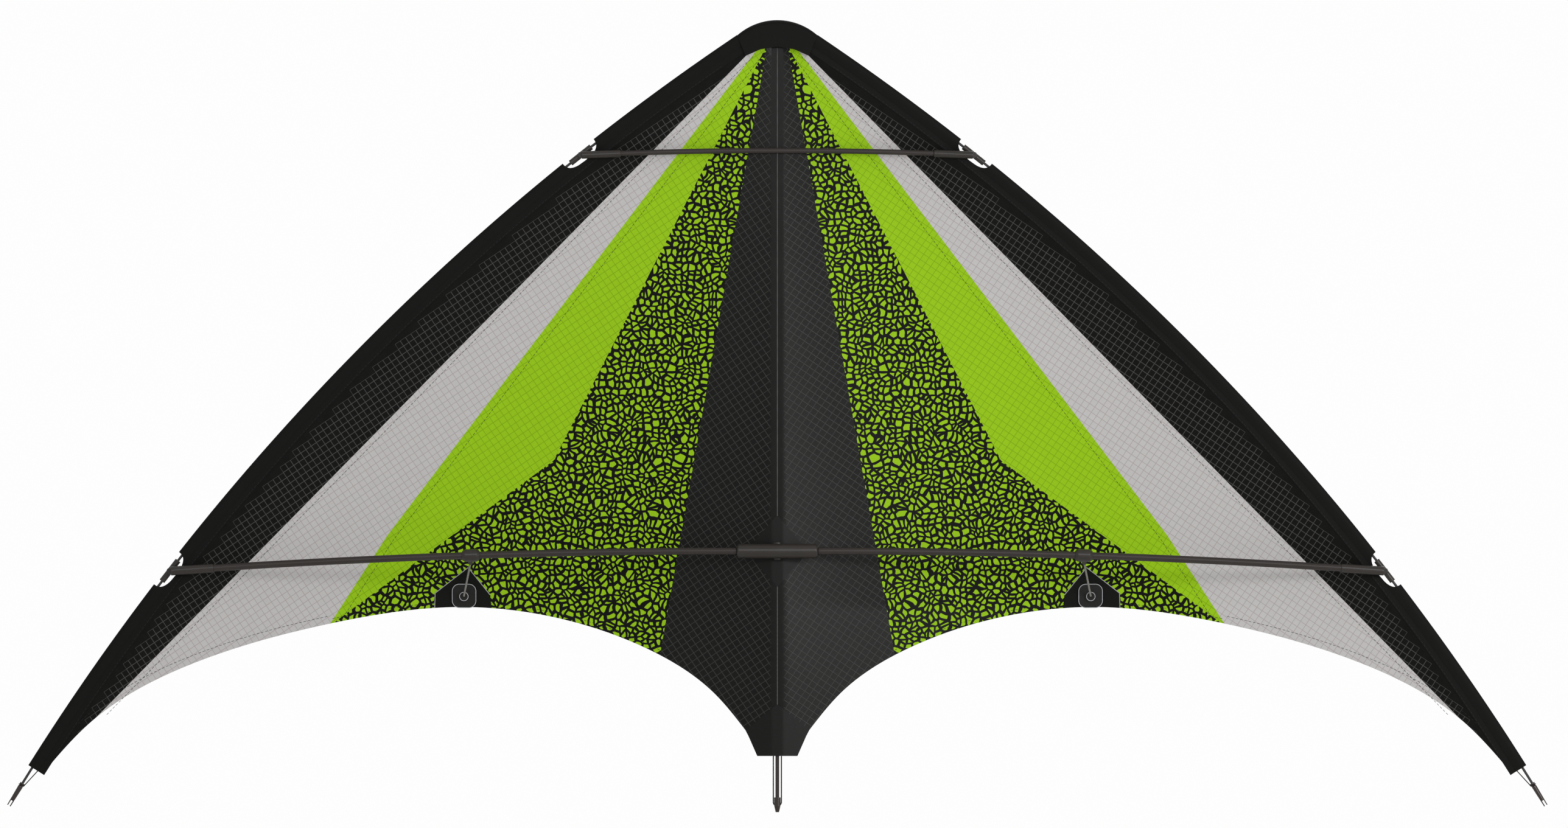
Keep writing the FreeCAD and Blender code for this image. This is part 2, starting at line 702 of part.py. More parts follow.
def hood_block(rim, low, high):
    """The nose patch's outline, drawn in by a rim, as a block between two Y values."""
    corner = EDGE.point(EDGE.nose_angle, rim)
    radial = EDGE.radial(EDGE.nose_angle)
    foot = corner - radial * (math.hypot(HOOD_ARCH[0][0] - corner.x, HOOD_ARCH[0][1] - corner.z))
    top = Vector(0, 0, size("nose_height") - rim)
    reach = -rim * 3 if rim > 0 else 0.0
    side = [Vector(corner.x, low, corner.z), Vector(foot.x, low, foot.z)]
    if rim > 0:
        # The cavity runs out past the open lower side and the two open ends.
        out = Vector(-EDGE.tangent(EDGE.nose_angle).x, 0, -EDGE.tangent(EDGE.nose_angle).z)
        side = [point + out * 6 for point in side]
    edges = [Part.Arc(Vector(-side[0].x, low, side[0].z), Vector(0, low, top.z),
                      side[0]).toShape()]
    arch = Vector(HOOD_ARCH[1][0], low, HOOD_ARCH[1][1] + reach * 4)
    side[1].z += reach * 4
    edges.append(Part.LineSegment(side[0], side[1]).toShape())
    edges.append(Part.LineSegment(side[1], arch).toShape())
    edges.append(Part.LineSegment(arch, Vector(-side[1].x, low, side[1].z)).toShape())
    edges.append(Part.LineSegment(Vector(-side[1].x, low, side[1].z),
                                  Vector(-side[0].x, low, side[0].z)).toShape())
    face = Part.Face(Part.Wire(Part.sortEdges(edges)[0]))
    return face.extrude(Vector(0, high - low, 0))


def make_nose_patch():
    """The heavy cloth folded over the nose: two faces joined along the upper rim."""
    front, back, wall = size("hood_front"), size("hood_back"), size("hood_wall")
    outside = hood_block(0.0, front, back)
    cavity = hood_block(size("hood_rim"), front + wall, back - wall)
    node(fixed_shape("nose_patch", largest(outside.cut(cavity))), "nose_patch")


# ---------------------------------------------------------------- leading edge

def make_edge_rod():
    """The leading edge rod, bent to the arc of the leading edge, and its upper cap."""
    inset = size("edge_rod_inset")
    low = EDGE.tip_angle - EDGE.turn(size("edge_rod_tip_reach"))
    high = EDGE.nose_angle + EDGE.turn(size("edge_rod_nose_reach"))
    radius = cell("edge_rod_diameter") / 2
    rod = bent_rod("edge_rod", EDGE.centre, EDGE.ahead, EDGE.radial(low), EDGE.radius - inset,
                   radius, high - low)
    node_pair(rod, "leading_edge_rod")

    bore = radius + cell("socket_clearance")
    outside = cell("rod_cap_diameter") / 2
    length = cell("rod_cap_length")
    grip = length * 0.75
    corners = [(bore, 0), (outside, 0), (outside, length), (0, length), (0, grip), (bore, grip)]
    end = EDGE.point(high, inset)
    along = EDGE.tangent(high)
    place = frame(end - along * number(grip), along, EDGE.radial(high))
    node_pair(turned_body("edge_rod_cap", corners, place), "leading_edge_cap")


def make_pocket():
    """The cloth pocket of the leading edge, with a window at each connector."""
    body, sketch = body_with_sketch("edge_pocket", "XZ_Plane")
    edge = EDGE.radius
    inset = cell("edge_rod_inset")
    bore = cell("edge_rod_diameter") / 2 + cell("rod_clearance")
    crown = bore + cell("pocket_wall")
    thin = cell("cloth")
    width = cell("pocket_width")
    crown_x = Dim(edge, repr(edge)) - inset
    inner_x = Dim(edge, repr(edge)) - width
    corners = [(edge, thin * -0.5), (edge, thin * 0.5), (crown_x, crown), (inner_x, thin),
               (inner_x, thin * -1), (crown_x, crown * -1)]
    draw_polygon(sketch, corners)
    draw_circle(sketch, crown_x, 0, bore)
    sweep = EDGE.nose_angle - EDGE.tip_angle - EDGE.turn(size("fold_gap"))
    revolve(body, sketch, math.degrees(sweep))
    body.Placement = EDGE.frame_at(EDGE.tip_angle)

    solid = body
    windows = (("upper_window", size("upper_connector_height"), cell("upper_window_length")),
               ("lower_window", -size("lower_connector_depth"), cell("lower_window_length")))
    for name, height, length in windows:
        middle = EDGE.angle_at_height(height, size("edge_rod_inset"))
        along = EDGE.tangent(middle)
        depth = size("window_depth")
        block = DOC.addObject("Part::Box", name)
        bind(block, "Length", cell("window_depth") * 2)
        bind(block, "Width", cell("pocket_width"))
        bind(block, "Height", length)
        corner = (EDGE.point(middle, depth) - EDGE.ahead * (size("pocket_width") / 2)
                  - along * (number(length) / 2))
        block.Placement = frame(corner, along, EDGE.radial(middle))
        block.Placement.Base = corner_of_box(corner, along, EDGE.radial(middle))
        solid = boolean("Cut", name + "_cut", solid, block)
    node_pair(solid, "leading_edge_pocket")


def corner_of_box(corner, along, radial):
    """The box's own corner, so that its Y side spans the pocket's thickness."""
    y_dir = along.cross(radial)
    if y_dir.dot(EDGE.ahead) > 0:
        return corner
    return corner + EDGE.ahead * size("pocket_width")


def make_nock():
    """The slotted nock on the wing tip, and the elastic that hooks on to it."""
    inset = size("edge_rod_inset")
    rod_end = EDGE.tip_angle - EDGE.turn(size("edge_rod_tip_reach"))
    along = EDGE.tangent(rod_end) * -1
    start = EDGE.point(rod_end, inset) - along * (size("nock_grip") - size("socket_clearance"))
    wide = cell("nock_diameter") / 2
    narrow = cell("nock_end_diameter") / 2
    bore = cell("edge_rod_diameter") / 2 + cell("socket_clearance")
    length = cell("nock_length")
    grip = cell("nock_grip")
    corners = [(bore, 0), (wide, 0), (wide, 1.0), (narrow, 1.4), (narrow, 2.4), (wide, 3.0),
               (narrow, length), (0, length), (0, grip), (bore, grip)]
    body = turned_body("tip_nock", corners, frame(start, along, EDGE.radial(rod_end)))
    slot = add_sketch(body, "tip_nock_slot", "XZ_Plane")
    half = cell("nock_slot_width") / 2
    floor = length - cell("nock_slot_depth")
    draw_polygon(slot, [(half * -1, floor), (half, floor), (half, length + 1), (half * -1, length + 1)])
    cut_through(body, slot)
    node_pair(body, "tip_nock")

    radius = size("elastic_diameter") / 2
    sewn = EDGE.point(EDGE.tip_angle, size("pocket_width") * 0.62)
    away = EDGE.tangent(EDGE.tip_angle) * -1
    sewn = sewn + away * size("seam_gap")
    hook_gap = size("nock_diameter") / 2 + radius - size("seam_gap")
    hook = start + along * 1.9 - EDGE.radial(rod_end) * hook_gap
    run = hook - sewn
    place = frame(sewn, run.normalize(), EDGE.ahead)
    elastic = cylinder("tip_elastic", cell("elastic_diameter") / 2, (hook - sewn).Length, place)
    node_pair(elastic, "tip_elastic")


# ---------------------------------------------------------------- connectors and spreaders

def socket_floor(height, offset):
    """The point where a spreader ends in its connector, and the rod point it sits ahead of."""
    angle = EDGE.angle_at_height(height, size("edge_rod_inset"))
    on_rod = EDGE.point(angle, size("edge_rod_inset"))
    return on_rod, on_rod + EDGE.ahead * offset - EDGE.out * 3.0, angle


def lower_bend():
    """The arc of the right lower spreader, from the centre fitting to its connector."""
    _, end, _ = socket_floor(-size("lower_connector_depth"), size("lower_tube_offset"))
    level = Vector(end.x, end.y, 0).normalize()
    start = level * (size("cross_reach") + size("joint_gap"))
    chord = (end - start).normalize()
    up = (Z_AXIS - chord * chord.z).normalize()
    return Bend(start, end, up * size("lower_spreader_bow"))


LOWER = lower_bend()
SPREADER_OUT = LOWER.tangent(0.0)


def upper_bend():
    """The arc of the upper spreader, from the left connector's floor to the right one's."""
    _, end, _ = socket_floor(size("upper_connector_height"), size("upper_tube_offset"))
    clear = size("keel_front") - size("joint_gap") - size("upper_spreader_diameter") / 2
    bow = Vector(0, clear - end.y, size("upper_spreader_rise"))
    return Bend(Vector(-end.x, end.y, end.z), end, bow)


UPPER = upper_bend()


def connector(name, height, tube, bend, rod_diameter):
    """A moulded connector: a sleeve on the leading edge rod and a socket for a spreader."""
    on_rod, floor, angle = socket_floor(height, tube["offset"])
    along = EDGE.tangent(angle)
    mouth = bend.point(bend.angle - number(tube["length"]) / bend.radius)
    inward = (mouth - floor).normalize()
    length = cell("connector_sleeve_length")
    low = on_rod - along * (number(length) / 2)
    sleeve = cylinder(name + "_sleeve", cell("connector_sleeve_diameter") / 2, length,
                      frame(low, along, EDGE.ahead))
    outer = floor - inward * size("connector_floor")
    barrel = cylinder(name + "_barrel", tube["diameter"] / 2, tube["length"],
                      frame(outer, inward, Z_AXIS))
    bridge = cylinder(name + "_bridge", cell("connector_sleeve_diameter") / 2, tube["offset"],
                      frame(on_rod, EDGE.ahead, Z_AXIS))
    solid = boolean("Fuse", name + "_outer", sleeve, barrel)
    solid = boolean("Fuse", name + "_solid", solid, bridge)
    passage = cylinder(name + "_passage", cell("edge_rod_diameter") / 2 + cell("rod_clearance"),
                       length * 2, frame(low - along * number(length) / 2, along, EDGE.ahead))
    socket = cylinder(name + "_socket", rod_diameter / 2 + cell("socket_clearance"),
                      tube["length"], frame(floor, inward, Z_AXIS))
    solid = boolean("Cut", name + "_bored", solid, passage)
    node_pair(boolean("Cut", name, solid, socket), name)


def make_connectors():
    """The two pairs of connectors on the leading edges."""
    lower = {"offset": size("lower_tube_offset"), "length": cell("lower_tube_length"),
             "diameter": cell("lower_tube_diameter")}
    upper = {"offset": size("upper_tube_offset"), "length": cell("upper_tube_length"),
             "diameter": cell("upper_tube_diameter")}
    connector("lower_connector", -size("lower_connector_depth"), lower, LOWER,
              cell("lower_spreader_diameter"))
    connector("upper_connector", size("upper_connector_height"), upper, UPPER,
              cell("upper_spreader_diameter"))


def make_spreaders():
    """The lower spreaders and the one upper spreader, each a rod bent to its arc."""
    gap = size("socket_clearance") / LOWER.radius
    rod = bent_rod("lower_spreader", LOWER.centre, LOWER.axis, LOWER.ray(0.0), LOWER.radius,
                   cell("lower_spreader_diameter") / 2, LOWER.angle - gap)
    node_pair(rod, "lower_spreader")
    inside = size("upper_tube_length") - size("connector_floor") + size("joint_gap")
    gap = size("socket_clearance") / UPPER.radius
    sweep = UPPER.angle - gap - inside / UPPER.radius
    rod = bent_rod("upper_spreader", UPPER.centre, UPPER.axis, UPPER.ray(gap), UPPER.radius,
                   cell("upper_spreader_diameter") / 2, sweep)
    node(rod, "upper_spreader")


# ---------------------------------------------------------------- standoffs

def sail_normal(x, height):
    """The unit normal of the sail's front face, towards the flyer."""
    step = 0.5
    slope_x = (sail_front(x + step, height) - sail_front(x - step, height)) / (2 * step)
    slope_z = (sail_front(x, height + step) - sail_front(x, height - step)) / (2 * step)
    return Vector(slope_x, -1, slope_z).normalize()


def standoff_foot():
    """The top of the standoff socket's cup, where the standoff rod ends."""
    x, height = size("standoff_foot_reach"), -size("standoff_foot_depth")
    normal = sail_normal(x, height)
    lift = size("patch_cloth") + size("plate_gap")
    seat = Vector(x, sail_front(x, height), height) + normal * lift
    return seat, seat + normal * (size("socket_plate_thickness") + size("socket_cup_height"))


def make_standoff_clip():
    """The clip on the lower spreader, with the spigot that holds the standoff rod."""
    turn = LOWER.turn_at_x(size("clip_reach"))
    centre, along = LOWER.point(turn), LOWER.tangent(turn)
    half = cell("clip_length") / 2
    bore = cell("lower_spreader_diameter") / 2 + cell("rod_clearance")
    full = cell("clip_diameter") / 2
    edge = full - 1.6
    corners = [(bore, half * -1), (edge, half * -1), (full, half * -1 + 2.2), (full, half - 2.2),
               (edge, half), (bore, half)]
    ring = turned_body("clip_ring", corners, frame(centre, along, Y_AXIS))
    _, foot = standoff_foot()
    toward = (foot - centre).normalize()
    toward = (toward - along * toward.dot(along)).normalize()
    inner = size("lower_spreader_diameter") / 2 + size("rod_clearance") + 1.0
    start = centre + toward * inner
    lug_length = cell("clip_diameter") / 2 - inner + cell("lug_length")
    lug = cylinder("clip_lug", cell("lug_diameter") / 2, lug_length,
                   frame(start, (foot - start).normalize(), Z_AXIS))
    bore_start = centre + toward * (inner + 0.6)
    hole = cylinder("clip_hole", cell("standoff_diameter") / 2 + cell("socket_clearance"),
                    cell("clip_diameter") + cell("lug_length"),
                    frame(bore_start, (foot - bore_start).normalize(), Z_AXIS))
    solid = boolean("Fuse", "clip_solid", ring, lug)
    node_pair(boolean("Cut", "standoff_clip", solid, hole), "standoff_clip")

    rod_start = bore_start + toward * size("socket_clearance")
    length = (foot - rod_start).Length - 2 * size("joint_gap")
    rod = cylinder("standoff_rod", cell("standoff_diameter") / 2, length,
                   frame(rod_start, (foot - rod_start).normalize(), Z_AXIS))
    node_pair(rod, "standoff_rod")


def make_standoff_socket():
    """The socket on the sail: a rounded square plate with a round cup for the rod's foot."""
    seat, _ = standoff_foot()
    normal = sail_normal(size("standoff_foot_reach"), -size("standoff_foot_depth"))
    place = frame(seat, normal, X_AXIS)
    side = cell("socket_plate")
    plate = DOC.addObject("Part::Box", "socket_plate_block")
    bind(plate, "Length", side)
    bind(plate, "Width", side)
    bind(plate, "Height", cell("socket_plate_thickness"))
    shift = -size("socket_plate") / 2
    plate.Placement = place.multiply(Placement(Vector(shift, shift, 0), Rotation()))
    DOC.recompute()
    rounded = DOC.addObject("Part::Fillet", "socket_plate_rounded")
    rounded.Base = plate
    upright = [index + 1 for index, edge in enumerate(plate.Shape.Edges)
               if abs(edge.tangentAt(edge.FirstParameter).dot(normal)) > 0.99]
    corner = size("socket_corner")
    rounded.Edges = [(index, corner, corner) for index in upright]
    cup = cylinder("socket_cup", cell("socket_cup_diameter") / 2,
                   cell("socket_plate_thickness") + cell("socket_cup_height"), place)
    node_pair(boolean("Fuse", "standoff_socket", rounded, cup), "standoff_socket")


# ---------------------------------------------------------------- build, check, write

def build():
    """Make every node."""
    opening = size("cloth_opening") / 2
    make_spine()
    make_sleeve("spine_sleeve_upper", opening, SAIL_TOP - size("rod_cap_diameter"))
    make_sleeve("spine_sleeve_lower", -size("tail_depth"), -opening)
    make_tail_cap()
    make_tail_line()
    make_centre_cross()
    make_nose_patch()
    make_patches()
    make_panels()
    make_edge_rod()
    make_pocket()
    make_nock()
    make_connectors()
    make_spreaders()
    make_standoff_clip()
    make_standoff_socket()


def check():
    """Stop if any object failed or any node's shape isn't a sound solid."""
    for obj in DOC.Objects:
        if "Invalid" in obj.State or "Error" in obj.State:
            raise RuntimeError("%s failed: %s" % (obj.Label, obj.State))
    for obj in NODES:
        if obj.Shape.isNull() or not obj.Shape.isValid() or not obj.Shape.Solids:
            raise RuntimeError("%s has no sound solid" % obj.Label)


def write():
    """Write each node to its own STEP file."""
    os.makedirs("parts", exist_ok=True)
    for obj in NODES:
        obj.Shape.exportStep("parts/%s.step" % obj.Label)
        print("%-28s %d solid(s) %10.1f mm3" % (obj.Label, len(obj.Shape.Solids), obj.Shape.Volume))
    print("%d nodes" % len(NODES))


def report_joints():
    """Print the joint lines that the record states, in metres."""
    turn = LOWER.turn_at_x(size("clip_reach"))
    lines = [("lower spreader swing", socket_floor(-size("lower_connector_depth"), 0)[0],
              EDGE.tangent(socket_floor(-size("lower_connector_depth"), 0)[2])),
             ("upper spreader swing", socket_floor(size("upper_connector_height"), 0)[0],
              EDGE.tangent(socket_floor(size("upper_connector_height"), 0)[2])),
             ("standoff turn", LOWER.point(turn), LOWER.tangent(turn)),
             ("wing fold", Vector(fold_line(), size("keel_front") + size("cloth") / 2, 0), Z_AXIS)]
    for name, point, axis in lines:
        place = ", ".join("%.6f" % (value / 1000) for value in point)
        print("%s at [%s] along [%.6f, %.6f, %.6f]" % (name, place, axis.x, axis.y, axis.z))


build()
DOC.recompute()
check()
write()
report_joints()
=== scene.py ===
"""A two-line delta sport kite: a sewn sail on bent rods, its fittings, and a plain studio."""

import logging
import math
from dataclasses import dataclass, field
from enum import Enum

import bpy
import numpy as np
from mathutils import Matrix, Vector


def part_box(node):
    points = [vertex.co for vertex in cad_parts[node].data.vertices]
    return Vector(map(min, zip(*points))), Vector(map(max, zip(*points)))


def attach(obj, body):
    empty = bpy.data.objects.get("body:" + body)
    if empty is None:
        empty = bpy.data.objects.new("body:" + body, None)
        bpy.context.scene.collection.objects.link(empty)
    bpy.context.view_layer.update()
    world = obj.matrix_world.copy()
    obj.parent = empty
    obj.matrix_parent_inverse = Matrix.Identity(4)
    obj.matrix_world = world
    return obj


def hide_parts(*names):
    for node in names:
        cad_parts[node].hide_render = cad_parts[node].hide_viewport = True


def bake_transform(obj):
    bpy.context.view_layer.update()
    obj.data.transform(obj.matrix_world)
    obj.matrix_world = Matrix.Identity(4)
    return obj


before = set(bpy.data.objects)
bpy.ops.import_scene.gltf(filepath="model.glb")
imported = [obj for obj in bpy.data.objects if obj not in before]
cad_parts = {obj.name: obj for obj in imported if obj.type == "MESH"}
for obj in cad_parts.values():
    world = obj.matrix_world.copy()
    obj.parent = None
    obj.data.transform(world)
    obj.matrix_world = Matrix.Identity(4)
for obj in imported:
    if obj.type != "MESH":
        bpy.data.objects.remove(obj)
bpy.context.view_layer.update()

Array = np.ndarray
Socket = bpy.types.NodeSocket
LOG = logging.getLogger("kite")
SURFACE_MAP = "surface"      # the UV map that every new piece carries, in metres
MM = 0.001                   # one millimetre
UP = np.array([0.0, 0.0, 1.0])
BACK = np.array([0.0, 1.0, 0.0])      # away from the flyer


class Side(Enum):
    """Which wing a piece belongs to."""

    RIGHT = 1.0
    LEFT = -1.0

    @property
    def label(self) -> str:
        """The side's name as it stands in the names of pieces."""
        return self.name.lower()

    @property
    def wing(self) -> str:
        """The body that the side's sail rides on."""
        return f"wing_{self.label}"

    def place(self, points: Array) -> Array:
        """Carry right-wing points to this side, by the sign of X."""
        return points * np.array([self.value, 1.0, 1.0])


class Seam(Enum):
    """The sewn lines of the right wing, as corners (X, Z) from the nose down."""

    CENTRE = ((0.0, 0.400), (0.0, -0.163))
    PRINT_KEEL = ((0.0086, 0.400), (0.0935, -0.0834))
    GREEN_PRINT = ((0.0096, 0.400), (0.178, 0.072), (0.353, -0.0571))
    GREY_GREEN = ((0.0153, 0.400), (0.310, 0.0126), (0.3555, -0.0576))
    BLACK_GREY = ((0.0191, 0.400), (0.5875, -0.179))

    def corners(self, top: float) -> Array:
        """Give the corners with the first run carried up to a height.

        Args:
            top: Z of the upper end.

        Returns:
            The corners as rows of X and Z.
        """
        points = np.array(self.value)
        step = points[1] - points[0]
        points[0] = points[0] + step * (top - points[0, 1]) / step[1]
        return points


# ------------------------------------------------------------------ shapes in the sail's plane


def spaced(corners: Array, count: int) -> Array:
    """Space points evenly along straight runs and keep every corner.

    The lengths of the runs are added up, count even marks are laid along them, and the mark
    nearest to each corner is moved on to it.

    Args:
        corners: Rows of coordinates.
        count: How many points to give.

    Returns:
        The points, as rows.
    """
    reach = np.concatenate([[0.0], np.cumsum(np.linalg.norm(np.diff(corners, axis=0), axis=1))])
    marks = np.linspace(0.0, reach[-1], count)
    nearest = np.abs(marks[:, None] - reach[None, :]).argmin(axis=0)
    marks[nearest] = reach
    return np.stack([np.interp(marks, reach, column) for column in corners.T], axis=1)


def even(points: Array, count: int) -> Array:
    """Space points evenly along a dense line, by interpolating over its added length.

    Args:
        points: The dense line, as rows.
        count: How many points to give.

    Returns:
        The points, as rows.
    """
    reach = np.concatenate([[0.0], np.cumsum(np.linalg.norm(np.diff(points, axis=0), axis=1))])
    marks = np.linspace(0.0, reach[-1], count)
    return np.stack([np.interp(marks, reach, column) for column in points.T], axis=1)


def natural_curve(knots: Array, count: int) -> Array:
    """Draw a natural cubic spline through knots.

    Over the chord length s, each run is the cubic with the same slope and curvature as its
    neighbours at the knots, and with no curvature at the two ends.

    Args:
        knots: Rows of coordinates.
        count: How many points to give.

    Returns:
        Points along the spline, as rows.
    """
    s = np.concatenate([[0.0], np.cumsum(np.linalg.norm(np.diff(knots, axis=0), axis=1))])
    h = np.diff(s)
    size = len(knots)
    system = np.eye(size)
    right = np.zeros_like(knots)
    inner = np.arange(1, size - 1)
    system[inner, inner - 1] = h[:-1]
    system[inner, inner] = 2 * (h[:-1] + h[1:])
    system[inner, inner + 1] = h[1:]
    slopes = np.diff(knots, axis=0) / h[:, None]
    right[inner] = 6 * (slopes[1:] - slopes[:-1])
    bend = np.linalg.solve(system, right)
    t = np.linspace(0.0, s[-1], count)
    run = np.clip(np.searchsorted(s, t, side="right") - 1, 0, size - 2)
    a = ((s[run + 1] - t) / h[run])[:, None]
    b = 1 - a
    width = (h[run] ** 2)[:, None] / 6
    return a * knots[run] + b * knots[run + 1] + (
        (a**3 - a) * bend[run] + (b**3 - b) * bend[run + 1]) * width


def meeting(line: Array, gap: Array) -> Array:
    """Find where a dense line first crosses another, from its signed distance to it.

    Args:
        line: The dense line, as rows.
        gap: The signed distance at each of its points.

    Returns:
        The point of crossing.
    """
    at = int(np.nonzero(np.diff(np.sign(gap)))[0][0])
    share = gap[at] / (gap[at] - gap[at + 1])
    return line[at] * (1 - share) + line[at + 1] * share


def filled(left: Array, right: Array, top: Array, bottom: Array) -> Array:
    """Fill four border lines with a grid.

    The grid is the blend of left and right across, plus the blend of top and bottom downwards,
    less the blend of the four corners that both of them count.

    Args:
        left: Points down the left border.
        right: Points down the right border.
        top: Points across the upper border.
        bottom: Points across the lower border.

    Returns:
        The grid, rows by columns by coordinates.
    """
    v = np.linspace(0.0, 1.0, len(left))[:, None, None]
    u = np.linspace(0.0, 1.0, len(top))[None, :, None]
    across = (1 - u) * left[:, None] + u * right[:, None]
    down = (1 - v) * top[None] + v * bottom[None]
    corners = (1 - v) * ((1 - u) * top[0] + u * top[-1]) + v * (
        (1 - u) * bottom[0] + u * bottom[-1])
    return across + down - corners


@dataclass(frozen=True)
class SailForm:
    """The right wing's outline and belly, from which every cloth piece takes its place."""

    arc_radius: float = 1.95605
    arc_x: float = -1.055005
    arc_z: float = -1.214095
    tip_angle: float = math.radians(32.2472)
    nose_angle: float = math.radians(56.15)
    dihedral: float = math.radians(4.0)
    plane_offset: float = 0.001
    cloth: float = 0.0006
    keel_front: float = 0.007
    fold: float = 0.0045
    fold_start: float = 0.0005
    fold_end: float = 0.0085
    pocket: float = 0.014
    rod_inset: float = 0.0034
    rod_tip: float = 0.0255
    upper_level: float = 0.3152
    lower_level: float = -0.0157
    belly: float = 0.050
    belly_top: float = 0.400
    belly_full: float = -0.0445
    belly_power: float = 1.2

    @property
    def out(self) -> Array:
        """The direction in which the wing's plane runs outwards."""
        return np.array([math.cos(self.dihedral), math.sin(self.dihedral), 0.0])

    @property
    def ahead(self) -> Array:
        """The direction square to the wing's plane, towards the flyer."""
        return np.array([math.sin(self.dihedral), -math.cos(self.dihedral), 0.0])

    def reach(self, height: Array, inset: float) -> Array:
        """X of the leading edge drawn in by an inset, from the circle's equation."""
        run = self.arc_radius - inset
        return self.arc_x + math.cos(self.dihedral) * np.sqrt(run**2 - (height - self.arc_z) ** 2)

    def inset(self, x: Array, z: Array) -> Array:
        """How far a point lies inside the leading edge: the radius less its distance."""
        return self.arc_radius - np.hypot((x - self.arc_x) / math.cos(self.dihedral),
                                          z - self.arc_z)

    def plane(self, x: Array) -> Array:
        """Y of the wing's plane at X."""
        return self.plane_offset + math.tan(self.dihedral) * x

    def front(self, x: Array, z: Array) -> Array:
        """Give Y of the sail's front face.

        Between the fold line, share 0, and the leading edge pocket, share 1, Y runs straight
        from the keel to the wing's plane, plus a parabola 4 share (1 - share) whose height
        grows from nothing at the nose to the full belly at the trailing edge.

        Args:
            x: X of the points, right wing.
            z: Z of the points.

        Returns:
            Y of the points.
        """
        outer = self.reach(z, self.pocket)
        share = np.clip((x - self.fold) / (outer - self.fold), 0.0, 1.0)
        fall = np.clip((self.belly_top - z) / (self.belly_top - self.belly_full), 0.0, 1.0)
        flat = self.keel_front * (1 - share) + (self.plane(x) - self.cloth / 2) * share
        return flat + self.belly * fall**self.belly_power * 4 * share * (1 - share)

    def on_sail(self, flat: Array, lift: float = 0.0) -> Array:
        """Carry points (X, Z) on to the sail's front face, lifted towards the flyer."""
        x, z = flat[..., 0], flat[..., 1]
        return np.stack([x, self.front(x, z) - lift, z], axis=-1)

    def edge(self, angle: Array, inset: Array, ahead: Array) -> Array:
        """Give points beside the leading edge.

        A point is the arc's centre, plus the ray at the angle times the radius less the inset,
        plus the direction ahead times its distance.

        Args:
            angle: The arc angle.
            inset: The distance inside the outline.
            ahead: The distance in front of the wing's plane.

        Returns:
            The points, with the three coordinates last.
        """
        angle, inset, ahead = np.broadcast_arrays(angle, inset, ahead)
        centre = np.array([self.arc_x, float(self.plane(np.float64(self.arc_x))), self.arc_z])
        run = (self.arc_radius - inset)[..., None]
        ray = np.cos(angle)[..., None] * self.out + np.sin(angle)[..., None] * UP
        return centre + ray * run + ahead[..., None] * self.ahead

    def angle_at(self, height: float, inset: float) -> float:
        """The arc angle at which the edge drawn in by an inset reaches a height."""
        return math.asin((height - self.arc_z) / (self.arc_radius - inset))


FORM = SailForm()
SAIL_TOP = 0.404
TRAILING_KNOTS = np.array([
    (0.0246, -0.1435), (0.051, -0.1123), (0.104, -0.0774), (0.1705, -0.0542), (0.250, -0.0445),
    (0.353, -0.0571), (0.464, -0.0891), (0.5453, -0.1355), (0.5863, -0.1797)])
TRAILING = natural_curve(TRAILING_KNOTS, 3000)


def trailing_between(start: float, end: float, count: int) -> Array:
    """Give points of the trailing edge from one X to another, evenly spaced.

    Args:
        start: X of the first point.
        end: X of the last point.
        count: How many points to give.

    Returns:
        The points (X, Z), as rows.
    """
    z = np.interp([start, end], TRAILING[:, 0], TRAILING[:, 1])
    inside = TRAILING[(TRAILING[:, 0] > start) & (TRAILING[:, 0] < end)]
    return even(np.vstack([[start, z[0]], inside, [end, z[1]]]), count)


# ------------------------------------------------------------------ meshes


def grid_quads(rows: int, columns: int, wrap_rows: bool, wrap_columns: bool) -> Array:
    """Give the four-sided faces of a grid of points.

    Args:
        rows: Rows of points.
        columns: Points in a row.
        wrap_rows: Whether the last row joins the first.
        wrap_columns: Whether the last column joins the first.

    Returns:
        Point numbers, four to a face.
    """
    index = np.arange(rows * columns).reshape(rows, columns)
    if wrap_rows:
        index = np.vstack([index, index[:1]])
    if wrap_columns:
        index = np.hstack([index, index[:, :1]])
    return np.stack([index[:-1, :-1], index[1:, :-1], index[1:, 1:], index[:-1, 1:]],
                    axis=-1).reshape(-1, 4)


